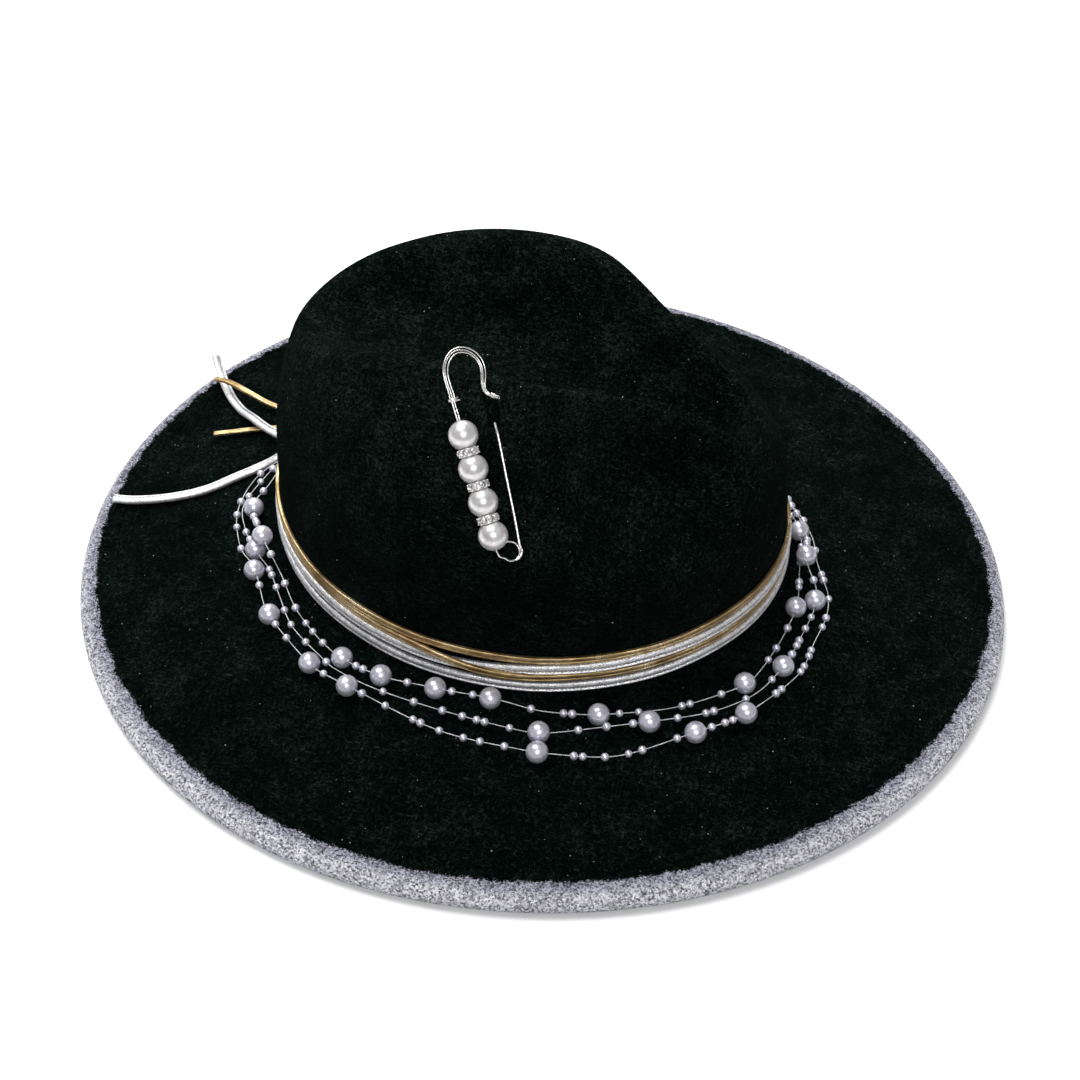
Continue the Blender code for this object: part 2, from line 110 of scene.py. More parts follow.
SILVER_TAIL_SIDE = [(-.1145, -.0005, .0060), (-.1205, -.0045, .0030), (-.1280, -.0125, .0020),
                    (-.1350, -.0215, .0020), (-.1440, -.0285, .0020), (-.1540, -.0335, .0020),
                    (-.1630, -.0365, .0020), (-.1695, -.0380, .0025)]
GOLD_TAIL_WIDTH = 0.0025
GOLD_TAIL_THICK = 0.0013
GOLD_TAIL_RADIUS = 0.0012
SILVER_TAIL_WIDTH = 0.0039
SILVER_TAIL_THICK = 0.0021
SILVER_TAIL_RADIUS = 0.0017

# Garland: degrees round the crown, distance out from it, height above the brim (mm), large pearl or not
LINE_RADIUS = 0.00017
PEARL_RADIUS = 0.0040
PEARL_BORE = 0.0005
PEARL_REACH = 0.0045
STRAND_INNER = [(-176, 7, 6, 0), (-169, 9, 5, 0), (-162, 12.5, 4.4, 1), (-147, 9.5, 12, 1),
                (-137, 7.5, 6, 0), (-128, 9.5, 3, 0), (-119, 12, 3.5, 0), (-110, 14, 4.4, 1),
                (-101, 13, 4.4, 1), (-90, 10, 4.4, 1), (-79, 9, 4.4, 1), (-69, 11, 3, 0),
                (-58, 14, 4.4, 1), (-43, 15.5, 3, 0), (-28, 18, 4.4, 1), (-15, 13, 3, 0),
                (-3, 10, 4.4, 1), (10, 7, 3, 0), (23, 8, 4.4, 1), (34, 6, 3, 0), (48, 6.5, 3, 0),
                (68, 8.5, 4.4, 1), (86, 8, 3, 0), (104, 9, 4.4, 1), (124, 8, 3, 0), (143, 9, 4.4, 1),
                (158, 7, 5, 0)]
STRAND_MIDDLE = [(-174, 11, 5, 0), (-164, 17, 3, 0), (-156, 15.5, 3.5, 0), (-148, 12.5, 4.4, 1),
                 (-141, 10, 3.5, 0), (-133, 11.5, 3, 0), (-124, 15.5, 3, 0), (-114, 17.5, 3, 0),
                 (-109, 18.5, 3, 0), (-100, 18, 3, 0), (-86, 17.5, 3, 0), (-69, 21.5, 4.4, 1),
                 (-49, 20, 4.4, 1), (-37, 22, 3, 0), (-28, 23, 3, 0), (-19, 21, 4.4, 1), (-8, 17, 3, 0),
                 (1, 15.5, 4.4, 1), (6, 12, 8, 0), (11, 9, 10, 1), (17, 9.5, 9, 0), (24, 8, 9.5, 0),
                 (33, 8, 5.5, 0), (44, 9.5, 3, 0), (56, 14, 4.4, 1), (70, 14, 3, 0), (88, 15, 4.4, 1),
                 (110, 15, 3, 0), (128, 15, 4.4, 1), (146, 14, 3, 0), (159, 11, 5, 0)]
STRAND_OUTER = [(-172, 15, 5, 0), (-162, 19, 3, 0), (-151, 18, 3, 0), (-142, 15.5, 4.4, 1),
                (-129, 19.5, 4.4, 1), (-114, 23, 4.4, 1), (-105, 23, 4.4, 1), (-86, 26, 3, 0),
                (-69, 30, 4.4, 1), (-56, 31, 2.5, 0), (-42, 29, 4.4, 1), (-32, 29, 4.4, 1),
                (-18, 26.5, 3, 0), (-9, 22.5, 3, 0), (-2, 21.5, 3, 0), (4, 19.5, 3, 0), (9, 16, 3, 0),
                (14, 13.5, 3, 0), (21, 13, 3, 0), (28, 11.5, 3, 0), (35, 10, 3, 0), (44, 13, 3, 0),
                (56, 19.5, 3, 0), (72, 21, 4.4, 1), (92, 21.5, 3, 0), (114, 21, 4.4, 1),
                (138, 19.5, 3, 0), (154, 16.5, 4, 0), (163, 14, 6, 0)]
TIED_IN = Vector((-.1088, .0012, .0222))    # where the strands start, at the silver knot
TIED_OFF = Vector((-.1072, .0250, .0262))   # and where they end, at the gold knot
SEED_BEAD = 0.00150       # radius of the small beads
SEED_STEP = (0.0050, 0.0135)
SEED_PAIR_SHARE = 0.30    # share of the small beads that have a second one beside them

# Kilt pin, as in the design
PIN_PLACE = Vector((0.0204, -0.0793, 0.0835))
PIN_ACROSS = Vector((0.7400, 0.6539, -0.1572))
PIN_UP = Vector((-0.3709, 0.5918, 0.7157))
NEEDLE_RADIUS = 0.0004
COIL_RADIUS = 0.0033
ARM_WIRE_RADIUS = 0.00028
SECOND_WIRE_RADIUS = 0.00024
ARM_WIRE_APART = 0.00042  # each wire of the arm from its middle line
HEAD_WIRE_RADIUS = 0.00021
HEAD_WIRE_APART = 0.00080
# Each coil: its first and last angle in degrees, then its first and last height
ARM_COIL = (222, 490, 0, -.0018)
NEEDLE_COIL = (-75, 0, .0009, .0013)
ARM_FOOT = Vector((-0.0049, 0, 0.0005))
ARM_HEAD = Vector((-0.0143, 0.0529, 0.0010))
BEAD_RADIUS = 0.0051
BEAD_PITCH = 0.0117
BEAD_FIRST = 0.0060
BEAD_BORE = 0.00075
NEEDLE = [(.0028, .0015, .0013), (.0022, .012, .00125), (.0011, .027, .00095), (.00035, .038, .0008),
          (-.00005, .0435, 0), (-.0002, .047, -.0005), (-.0003, .0505, 0), (-.0004, .0535, .0005)]
HEAD = [(-.0145, .0547, .0010), (-.0152, .0580, .0010), (-.0156, .0615, .0009), (-.0149, .0648, .0006),
        (-.0131, .0675, .0003), (-.0106, .0690, 0), (-.0078, .0691, 0), (-.0052, .0680, 0),
        (-.0032, .0659, .0001), (-.0022, .0632, .0003), (-.0022, .0605, .0006), (-.0027, .0580, .0011),
        (-.0031, .0558, .0018), (-.0025, .0539, .0024), (-.0010, .0528, .0026), (.0006, .0524, .0023),
        (.0015, .0522, .0014)]

MATERIALS = {}


# Camera, first

def aim(thing, place, target):
    thing.location = place
    thing.rotation_euler = (target - place).to_track_quat("-Z", "Y").to_euler()


def make_camera():
    lens = bpy.data.cameras.new("view")
    lens.lens = CAMERA_LENS
    lens.sensor_width = CAMERA_SENSOR
    camera = bpy.data.objects.new("camera", lens)
    bpy.context.scene.collection.objects.link(camera)
    aim(camera, CAMERA_PLACE, CAMERA_AIM)
    bpy.context.scene.camera = camera


# Shader building

def node(tree, kind, inputs=None, **settings):
    """A shader node. Its inputs are linked where they are sockets, and set where they are values."""
    made = tree.nodes.new("ShaderNode" + kind)
    for name, value in settings.items():
        setattr(made, name, value)
    for name, value in (inputs or {}).items():
        if isinstance(value, bpy.types.NodeSocket):
            tree.links.new(value, made.inputs[name])
        else:
            made.inputs[name].default_value = value
    return made


def new_material(name, **constants):
    """A material, its tree and its shader, with the shader's constant sockets set by name."""
    material = bpy.data.materials.new(name)
    material.use_nodes = True
    tree = material.node_tree
    shader = tree.nodes["Principled BSDF"]
    for key, value in constants.items():
        shader.inputs[key.replace("_", " ")].default_value = value
    MATERIALS[name] = material
    return tree, shader


def place_in(tree):
    return node(tree, "TexCoord").outputs["Object"]


def stretched(tree, vector, scale):
    return node(tree, "Mapping", {"Vector": vector, "Scale": scale}).outputs["Vector"]


def noise(tree, vector, scale, detail=2.0, roughness=0.5, distortion=0.0):
    inputs = {"Vector": vector, "Scale": scale, "Detail": detail, "Roughness": roughness,
              "Distortion": distortion}
    return node(tree, "TexNoise", inputs).outputs["Fac"]


def cells(tree, vector, scale, output="Distance"):
    return node(tree, "TexVoronoi", {"Vector": vector, "Scale": scale}).outputs[output]


def ramp(tree, factor, stops):
    made = node(tree, "ValToRGB", {"Fac": factor})
    points = made.color_ramp.elements
    while len(points) < len(stops):
        points.new(0.5)
    for point, (position, value) in zip(points, stops):
        point.position = position
        point.color = (*value, 1) if hasattr(value, "__len__") else (value, value, value, 1)
    return made.outputs["Color"]


def mix(tree, factor, first, second, blend="MIX"):
    made = node(tree, "Mix", data_type="RGBA", blend_type=blend)
    for key, value in ((0, factor), (6, first), (7, second)):
        if isinstance(value, bpy.types.NodeSocket):
            tree.links.new(value, made.inputs[key])
        else:
            made.inputs[key].default_value = value if key == 0 else (*value, 1)
    return made.outputs[2]


def calc(tree, operation, first, second=0.0, third=0.0, clamp=False):
    made = node(tree, "Math", operation=operation, use_clamp=clamp)
    for socket, value in zip(made.inputs, (first, second, third)):
        if isinstance(value, bpy.types.NodeSocket):
            tree.links.new(value, socket)
        else:
            socket.default_value = value
    return made.outputs[0]


def span(tree, value, low, high, to_low=0.0, to_high=1.0):
    inputs = {"Value": value, "From Min": low, "From Max": high, "To Min": to_low, "To Max": to_high}
    return node(tree, "MapRange", inputs).outputs["Result"]


def bump(tree, height, distance, strength=1.0, normal=None):
    inputs = {"Height": height, "Distance": distance, "Strength": strength}
    if normal is not None:
        inputs["Normal"] = normal
    return node(tree, "Bump", inputs).outputs["Normal"]


def wire_up(tree, shader, **sockets):
    for name, socket in sockets.items():
        tree.links.new(socket, shader.inputs[name.replace("_", " ")])


def along_cord(tree):
    """Distance along the cord and across it, in metres, from the cord's own attribute."""
    lay = node(tree, "Attribute", attribute_name="lay").outputs["Vector"]
    parts = node(tree, "SeparateXYZ", {"Vector": lay})
    return parts.outputs["X"], parts.outputs["Y"]


# Materials

FELT_DARK = (0.0004, 0.0018, 0.0013)
FELT_MIDDLE = (0.0034, 0.0070, 0.0058)
FELT_LIGHT = (0.0200, 0.0270, 0.0245)
LINT = (0.34, 0.36, 0.35)


def wool(tree, at):
    """Colour and height of short matted wool with specks of lint, painted lighter towards the crown's top as
    if lit from above.
    """
    one_way = noise(tree, stretched(tree, at, (420, 1150, 1150)), 1, 3, 0.65, 0.6)
    other_way = noise(tree, stretched(tree, at, (1150, 460, 900)), 1, 3, 0.65, 0.6)
    fibre = calc(tree, "MAXIMUM", one_way, other_way)
    cloudy = noise(tree, at, 70, 4, 0.6)
    height = node(tree, "SeparateXYZ", {"Vector": at}).outputs["Z"]
    # Painted light: the felt is lightened towards the crown's top, as if lit from above.
    lit_from_above = span(tree, height, 0.070, 0.120, 0.0, 0.045)
    tone = calc(tree, "ADD", calc(tree, "MULTIPLY_ADD", cloudy, 0.30, fibre), lit_from_above)
    colour = ramp(tree, tone, [(0.66, FELT_DARK), (0.76, FELT_MIDDLE), (0.90, FELT_LIGHT)])
    speck = cells(tree, at, 250)
    lint = calc(tree, "LESS_THAN", speck, span(tree, noise(tree, at, 90), 0.45, 0.70, 0.020, 0.070))
    colour = mix(tree, lint, colour, LINT)
    return colour, fibre


def glitter(tree, at):
    """Colour, height and share of metal of silver paint full of fine flakes."""
    flake = node(tree, "TexVoronoi", {"Vector": at, "Scale": 1600})
    shade = node(tree, "SeparateColor", {"Color": flake.outputs["Color"]}).outputs["Red"]
    colour = ramp(tree, shade, [(0.0, (0.04, 0.04, 0.05)), (0.16, (0.25, 0.25, 0.28)),
                                (0.50, (0.56, 0.56, 0.61)), (0.80, (0.88, 0.88, 0.94)),
                                (1.0, (1.0, 1.0, 1.0))])
    patchy = noise(tree, at, 160, 3)
    colour = mix(tree, span(tree, patchy, 0.3, 0.75, 0.0, 0.35), colour, (0.30, 0.30, 0.33))
    return colour, flake.outputs["Distance"], shade


def make_felt_materials():
    tree, shader = new_material("felt_plain", Roughness=0.95, Specular_IOR_Level=0.0, Sheen_Weight=0.012,
                                Sheen_Roughness=0.35, Sheen_Tint=(0.75, 0.95, 0.88, 1))
    colour, fibre = wool(tree, place_in(tree))
    wire_up(tree, shader, Base_Color=colour, Normal=bump(tree, fibre, 0.0016, 1.0))

    tree, shader = new_material("felt_painted", Specular_IOR_Level=0.0, Sheen_Weight=0.012,
                                Sheen_Roughness=0.35, Sheen_Tint=(0.75, 0.95, 0.88, 1))
    at = place_in(tree)
    colour, fibre = wool(tree, at)
    silver, flakes, shade = glitter(tree, at)
    inside = node(tree, "Attribute", attribute_name="paint").outputs["Fac"]
    ragged = calc(tree, "MULTIPLY_ADD", noise(tree, at, 120, 3), 0.0040, -0.0020)
    frayed = calc(tree, "MULTIPLY_ADD", noise(tree, at, 1000, 4, 0.8, 0.8), 0.0064, -0.0032)
    reach = calc(tree, "ADD", inside, calc(tree, "ADD", ragged, frayed))
    painted = span(tree, reach, -0.0001, 0.0002)
    bare = calc(tree, "LESS_THAN", noise(tree, at, 1500, 3, 0.6), span(tree, inside, 0, 0.005, 0.46, 0.34))
    painted = calc(tree, "SUBTRACT", painted, calc(tree, "MULTIPLY", bare, 0.8), clamp=True)
    # Painted light and shade: the glitter is brightest round the roll's outer face and darker over the roll's
    # top and underneath it.
    roll_light_and_shade = mix(tree, span(tree, inside, 0.002, 0.0065), (0.62, 0.63, 0.70), (1.0, 0.99, 1.0))
    silver = mix(tree, 1.0, silver, roll_light_and_shade, "MULTIPLY")
    wire_up(tree, shader, Base_Color=mix(tree, painted, colour, silver),
            Roughness=span(tree, painted, 0, 1, 0.95, 0.42),
            Metallic=calc(tree, "MULTIPLY", painted, span(tree, shade, 0.5, 1.0, 0.15, 0.6)),
            Normal=bump(tree, flakes, 0.00040, 0.9, bump(tree, fibre, 0.0016, 1.0)))


def make_nap_material():
    tree, shader = new_material("nap", Roughness=0.9, Specular_IOR_Level=0.0)
    uneven = noise(tree, place_in(tree), 500)
    colour = ramp(tree, uneven, [(0.35, (0.001, 0.003, 0.0025)), (0.75, (0.010, 0.016, 0.014))])
    wire_up(tree, shader, Base_Color=colour)


def make_gold_material():
    """Foil-faced strip with fine cross crinkles; its colour carries painted sheen in broad patches and
    painted shade in lengthwise streaks, as where it folds.
    """
    tree, shader = new_material("gold", Coat_Weight=0.1, Coat_Roughness=0.2)
    at = place_in(tree)
    along, across = along_cord(tree)
    lay = node(tree, "CombineXYZ", {"X": along, "Y": across}).outputs["Vector"]
    streak = noise(tree, stretched(tree, lay, (70, 2200, 1)), 1, 2, 0.5)
    crinkle = noise(tree, stretched(tree, lay, (2200, 500, 1)), 1, 3, 0.6, 0.5)
    # Broad noise that varies roughness and metal, and in the colour stands for painted sheen.
    wear_and_sheen = noise(tree, at, 75, 4, 0.65)
    tone = calc(tree, "ADD", calc(tree, "MULTIPLY", streak, 0.35), calc(tree, "MULTIPLY", wear_and_sheen, 0.65))
    # Painted light: the pale end of the ramp is painted sheen, the dark end painted shade.
    colour = ramp(tree, tone, [(0.34, (0.15, 0.095, 0.036)), (0.47, (0.40, 0.27, 0.115)),
                               (0.58, (0.66, 0.50, 0.27)), (0.70, (1.0, 0.90, 0.68))])
    wire_up(tree, shader, Base_Color=colour, Roughness=span(tree, wear_and_sheen, 0.3, 0.7, 0.36, 0.24),
            Metallic=span(tree, wear_and_sheen, 0.2, 0.8, 0.95, 0.80),
            Normal=bump(tree, calc(tree, "ADD", crinkle, streak), 0.00030, 0.8))


def make_silver_material():
    """Foil with a fine pebbled grain that glints."""
    tree, shader = new_material("silver", Coat_Weight=0.1, Coat_Roughness=0.2)
    at = place_in(tree)
    along, across = along_cord(tree)
    lay = node(tree, "CombineXYZ", {"X": along, "Y": across}).outputs["Vector"]
    grain = noise(tree, stretched(tree, lay, (1500, 2600, 1)), 1, 3, 0.6, 0.9)
    wrinkle = noise(tree, stretched(tree, lay, (500, 160, 1)), 1, 3, 0.6, 0.8)
    wear_and_sheen = noise(tree, at, 80, 3)
    tone = calc(tree, "ADD", calc(tree, "MULTIPLY", grain, 0.75), calc(tree, "MULTIPLY", wrinkle, 0.25))
    colour = ramp(tree, tone, [(0.32, (0.20, 0.20, 0.21)), (0.43, (0.56, 0.56, 0.58)),
                               (0.52, (0.86, 0.86, 0.88)), (0.62, (1.0, 1.0, 1.0))])
    wire_up(tree, shader, Base_Color=colour, Roughness=span(tree, grain, 0.3, 0.7, 0.45, 0.22),
            Metallic=span(tree, wear_and_sheen, 0.2, 0.8, 0.80, 0.60),
            Normal=bump(tree, calc(tree, "ADD", grain, wrinkle), 0.00040, 0.6))


def make_thread_material():
    tree, shader = new_material("thread", Roughness=0.8)
    twist = noise(tree, place_in(tree), 3000, 2)
    colour = ramp(tree, twist, [(0.3, (0.006, 0.006, 0.007)), (0.7, (0.045, 0.045, 0.05))])
    wire_up(tree, shader, Base_Color=colour, Normal=bump(tree, twist, 0.0002, 0.6))


def make_pearl_material(name, milky, shadow, mottle):
    """Imitation pearl: a soft body colour under a clear coat, faintly mottled, each a little different."""
    tree, shader = new_material(name, Roughness=0.33, Metallic=0.62, Coat_Weight=0.35, Coat_Roughness=0.16)
    at = node(tree, "VectorMath", {0: place_in(tree)}, operation="ADD")
    apart = calc(tree, "MULTIPLY", node(tree, "ObjectInfo").outputs["Random"], 3.0)
    tree.links.new(apart, at.inputs[1])
    blotch = noise(tree, at.outputs[0], 420, 4, 0.6, 0.6)
    fine = noise(tree, at.outputs[0], 1700, 3, 0.6)
    tone = calc(tree, "ADD", calc(tree, "MULTIPLY", blotch, 0.7), calc(tree, "MULTIPLY", fine, 0.3))
    wire_up(tree, shader, Base_Color=ramp(tree, tone, [(0.32, shadow), (0.62, milky)]),
            Normal=bump(tree, tone, mottle, 0.5))


def make_line_material():
    tree, shader = new_material("nylon", Roughness=0.18, Transmission_Weight=0.25, IOR=1.5)
    cloudy = noise(tree, place_in(tree), 260, 2)
    colour = ramp(tree, cloudy, [(0.3, (0.42, 0.43, 0.44)), (0.7, (0.88, 0.89, 0.90))])
    wire_up(tree, shader, Base_Color=colour)


def make_steel_material():
    tree, shader = new_material("plated", Metallic=0.8)
    rub = noise(tree, place_in(tree), 900, 3)
    wire_up(tree, shader, Base_Color=ramp(tree, rub, [(0.3, (0.80, 0.78, 0.76)), (0.7, (1.0, 0.99, 0.97))]),
            Roughness=span(tree, rub, 0.3, 0.7, 0.14, 0.30), Normal=bump(tree, rub, 0.00008, 0.4))


def make_stone_material():
    tree, shader = new_material("rhinestone", Roughness=0.03, Metallic=0.55, Coat_Weight=1.0,
                                Coat_Roughness=0.02)
    fire = noise(tree, place_in(tree), 1400, 2)
    colour = ramp(tree, fire, [(0.35, (0.42, 0.40, 0.46)), (0.65, (0.96, 0.94, 0.92))])
    wire_up(tree, shader, Base_Color=colour)


def make_ribbon_material():
    """Grosgrain: fine ribs across the ribbon."""
    tree, shader = new_material("grosgrain", Roughness=0.55, Sheen_Weight=0.2)
    along = along_cord(tree)[0]
    rib = calc(tree, "SINE", calc(tree, "MULTIPLY", along, 2 * math.pi / 0.0009))
    weave = noise(tree, place_in(tree), 1500, 2)
    height = calc(tree, "ADD", rib, weave)
    colour = ramp(tree, weave, [(0.3, (0.006, 0.006, 0.007)), (0.7, (0.020, 0.020, 0.022))])
    wire_up(tree, shader, Base_Color=colour, Normal=bump(tree, height, 0.0003, 0.7))


def make_hoop_material():
    tree, shader = new_material("hoop_plastic", Roughness=0.45)
    scuff = noise(tree, place_in(tree), 300, 3)
    colour = ramp(tree, scuff, [(0.3, (0.42, 0.42, 0.41)), (0.7, (0.58, 0.58, 0.56))])
    wire_up(tree, shader, Base_Color=colour)


def make_floor_material():
    tree, shader = new_material("pale_floor", Roughness=0.6, Specular_IOR_Level=0.2)
    faint = noise(tree, place_in(tree), 6, 2)
    colour = ramp(tree, faint, [(0.3, (0.95, 0.95, 0.95)), (0.7, (0.97, 0.97, 0.97))])
    wire_up(tree, shader, Base_Color=colour)


def make_materials():
    make_felt_materials()
    make_nap_material()
    make_gold_material()
    make_silver_material()
    make_thread_material()
    make_pearl_material("pin_pearl", (0.84, 0.82, 0.82), (0.58, 0.56, 0.57), 0.00003)
    make_pearl_material("garland_pearl", (0.78, 0.77, 0.88), (0.48, 0.47, 0.56), 0.00012)
    make_line_material()
    make_steel_material()
    make_stone_material()
    make_ribbon_material()
    make_hoop_material()
    make_floor_material()


# Curves shared with the design

def ease(value):
    value = np.clip(value, 0, 1)
    return value * value * (3 - 2 * value)


def foot_oval(angle, out=0.0):
    c, s = np.cos(angle), np.sin(angle)
    across = np.hypot(CROWN_B * c, CROWN_A * s)
    return CROWN_SHIFT + CROWN_A * c + out * CROWN_B * c / across, CROWN_B * s + out * CROWN_A * s / across


def brim_oval(angle, inset=0.0):
    a, b = BRIM_LENGTH / 2, BRIM_WIDTH / 2
    c, s = np.cos(angle), np.sin(angle)
    dx = -a * s
    dy = b * (c - BRIM_TAPER * (c * c - s * s))
    run = np.hypot(dx, dy)
    return a * c - inset * dy / run, b * s * (1 - BRIM_TAPER * c) + inset * dx / run


def brim_height(out):
    return BRIM_ROOT - (BRIM_ROOT - BRIM_EDGE) * np.clip((out - 0.003) / 0.080, -0.1, 1)


def crest(angle):
    c, s = np.cos(angle), np.sin(angle)
    x = -0.001 + 0.088 * c
    half_width = 0.0285 + 0.0155 / (1 + np.exp((c - 0.40) / 0.11)) + 0.016 * np.minimum(c, 0) ** 2
    z = CREST_TOP - 3.4 * (x + 0.006) ** 2 + 0.002 * ease((-x - 0.06) / 0.03)
    return CROWN_SHIFT + x, s * half_width, z


def dent_floor(angle):
    x = 0.006 + 0.060 * np.cos(angle)
    return CROWN_SHIFT + x, 0.0955 - 0.0075 * ease((x + 0.055) / 0.125)


def pinch_share(angle):
    from_front = np.abs((angle + math.pi) % (2 * math.pi) - math.pi)
    return np.exp(-(np.abs(from_front - PINCH_ANGLE) / PINCH_SPREAD) ** 2.8)


def crown_controls(angle):
    fx, fy = foot_oval(angle)
    cx, cy, cz = crest(angle)
    dx, dz = dent_floor(angle)
    pinched = pinch_share(angle)
    points = []
    for (out, up), (out_in, up_in) in zip(WALL, PINCHED):
        o = out + (out_in - out) * pinched
        u = up + (up_in - up) * pinched
        points.append((cx + (fx - cx) * o, cy + (fy - cy) * o, CROWN_FOOT + (cz - CROWN_FOOT) * u))
    points.append((cx, cy, cz + 0.001))
    for inwards, down in DENT:
        points.append((cx + (dx - cx) * inwards, cy * (1 - inwards), cz + (dz - cz) * down))
    return np.array(points)


def spline(points, share):
    points = np.concatenate([points[:1], points[:1], points, points[-1:], points[-1:]])
    spans = len(points) - 3
    place = share * spans
    i = min(int(place), spans - 1)
    f = place - i
    weights = ((1 - f) ** 3, 3 * f ** 3 - 6 * f * f + 4, 3 * f * (1 + f - f * f) + 1, f ** 3)
    return sum(w * points[i + k] for k, w in enumerate(weights)) / 6


def between(a, b, c, d, t):
    """A point from b to c on the smooth curve through four points."""
    return 0.5 * (2 * b + (c - a) * t + (2 * a - 5 * b + 4 * c - d) * t * t
                  + (3 * b - a - 3 * c + d) * t ** 3)


def smooth_route(points, spacing):
    points = [Vector(p) for p in points]
    ends = [points[0] * 2 - points[1]] + points + [points[-1] * 2 - points[-2]]
    route = []
    for i in range(1, len(ends) - 2):
        a, b, c, d = ends[i - 1:i + 3]
        steps = max(1, round((c - b).length / spacing))
        route += [between(a, b, c, d, k / steps) for k in range(steps)]
    route.append(points[-1])
    return route


def unit(rows):
    return rows / np.linalg.norm(rows, axis=1)[:, None]


def distances(line):
    """How far along a line each of its points is."""
    return np.concatenate([[0], np.cumsum(np.linalg.norm(np.diff(line, axis=0), axis=1))])


def facing(direction):
    """The turn that points local Z along a direction."""
    return direction.to_track_quat("Z", "Y").to_matrix()


# Mesh building

def add_mesh(name, verts, faces, material, smooth=True, home=None):
    mesh = bpy.data.meshes.new(name)
    mesh.from_pydata([tuple(v) for v in verts], [], faces)
    build = bmesh.new()
    build.from_mesh(mesh)
    bmesh.ops.recalc_face_normals(build, faces=build.faces)
    build.to_mesh(mesh)
    build.free()
    if smooth:
        mesh.shade_smooth()
    return add_object(name, mesh, material, home)


def add_object(name, data, material, home=None):
    thing = bpy.data.objects.new(name, data)
    bpy.context.scene.collection.objects.link(thing)
    if not data.materials:
        data.materials.append(MATERIALS[material])
    if home is not None:
        thing.matrix_world = home
    return thing


def fit(thing, body, slot, *nodes):
    """The piece rides on its body and stands for the CAD nodes named. Its slot is not used."""
    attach(thing, body)
    if nodes:
        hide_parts(*nodes)
    return thing


def round_outline(points, steps):
    """A smooth closed curve through an outline's points."""
    points = np.array(points, float)
    rows = []
    for i in range(len(points)):
        a, b, c, d = (points[(i + k) % len(points)] for k in (-1, 0, 1, 2))
        rows += [between(a, b, c, d, t) for t in np.arange(steps) / steps]
    return np.array(rows)


def sweep(name, centres, outs, sides, outline, material, closed):
    """A solid that carries an outline (outwards, sideways) along a line, its lay kept as an attribute."""
    centres, outs, sides = (np.array(a, float) for a in (centres, outs, sides))
    n, m = len(centres), len(outline)
    verts = centres[:, None] + outs[:, None] * outline[None, :, :1] + sides[:, None] * outline[None, :, 1:]
    faces = []
    for i in range(n if closed else n - 1):
        k = (i + 1) % n
        for j in range(m):
            after = (j + 1) % m
            faces.append((i * m + j, k * m + j, k * m + after, i * m + after))
    if not closed:
        faces.append(tuple(range(m)))
        faces.append(tuple(range((n - 1) * m, n * m)))
    thing = add_mesh(name, verts.reshape(-1, 3), faces, material)
    along = distances(centres)
    lay = np.zeros((n, m, 3), np.float32)
    lay[:, :, 0] = along[:, None]
    lay[:, :, 1] = outline[None, :, 1]
    kept = thing.data.attributes.new("lay", "FLOAT_VECTOR", "POINT")
    kept.data.foreach_set("vector", lay.ravel())
    return thing


def revolve(profile, steps):
    """Points and faces of a closed outline of (radius, height) turned about local Z."""
    n = len(profile)
    verts, faces = [], []
    for i in range(steps):
        turn = 2 * math.pi * i / steps
        verts += [(r * math.cos(turn), r * math.sin(turn), z) for r, z in profile]
        for j in range(n):
            k, after = (i + 1) % steps, (j + 1) % n
            faces.append((i * n + j, k * n + j, k * n + after, i * n + after))
    return verts, faces


def scatter(name, template, frames, places, material, smooth=True, home=None):
    """Copies of a small template, one for each frame (its three columns) and place, as one piece."""
    verts, faces = np.array(template[0], float), template[1]
    frames, places = np.array(frames, float), np.array(places, float)
    points = np.einsum("nij,kj->nki", frames, verts) + places[:, None]
    count = len(verts)
    every = [tuple(i * count + v for v in face) for i in range(len(places)) for face in faces]
    mesh = bpy.data.meshes.new(name)
    mesh.from_pydata(points.reshape(-1, 3).tolist(), [], every)
    if smooth:
        mesh.shade_smooth()
    return add_object(name, mesh, material, home)


def ball_template(segments, rings):
    verts, faces = [(0, 0, 1)], []
    for i in range(1, rings):
        turn = math.pi * i / rings
        for j in range(segments):
            side = 2 * math.pi * j / segments
            verts.append((math.sin(turn) * math.cos(side), math.sin(turn) * math.sin(side), math.cos(turn)))
    verts.append((0, 0, -1))
    last = len(verts) - 1
    for j in range(segments):
        k = (j + 1) % segments
        faces.append((0, 1 + j, 1 + k))
        faces.append((last, last - segments + k, last - segments + j))
        for i in range(rings - 2):
            a = 1 + i * segments
            faces.append((a + j, a + segments + j, a + segments + k, a + k))
    return verts, faces


def tube(name, route, radius, material, home=None, taper=None, sides=4):
    curve = bpy.data.curves.new(name, "CURVE")
    curve.dimensions = "3D"
    curve.bevel_depth = radius
    curve.bevel_resolution = sides
    curve.use_fill_caps = True
    line = curve.splines.new("POLY")
    line.points.add(len(route) - 1)
    for i, (point, place) in enumerate(zip(line.points, route)):
        point.co = (*place, 1)
        point.radius = taper(i / (len(route) - 1)) if taper else 1
    line.use_smooth = True
    return add_object(name, curve, material, home)


# Felt

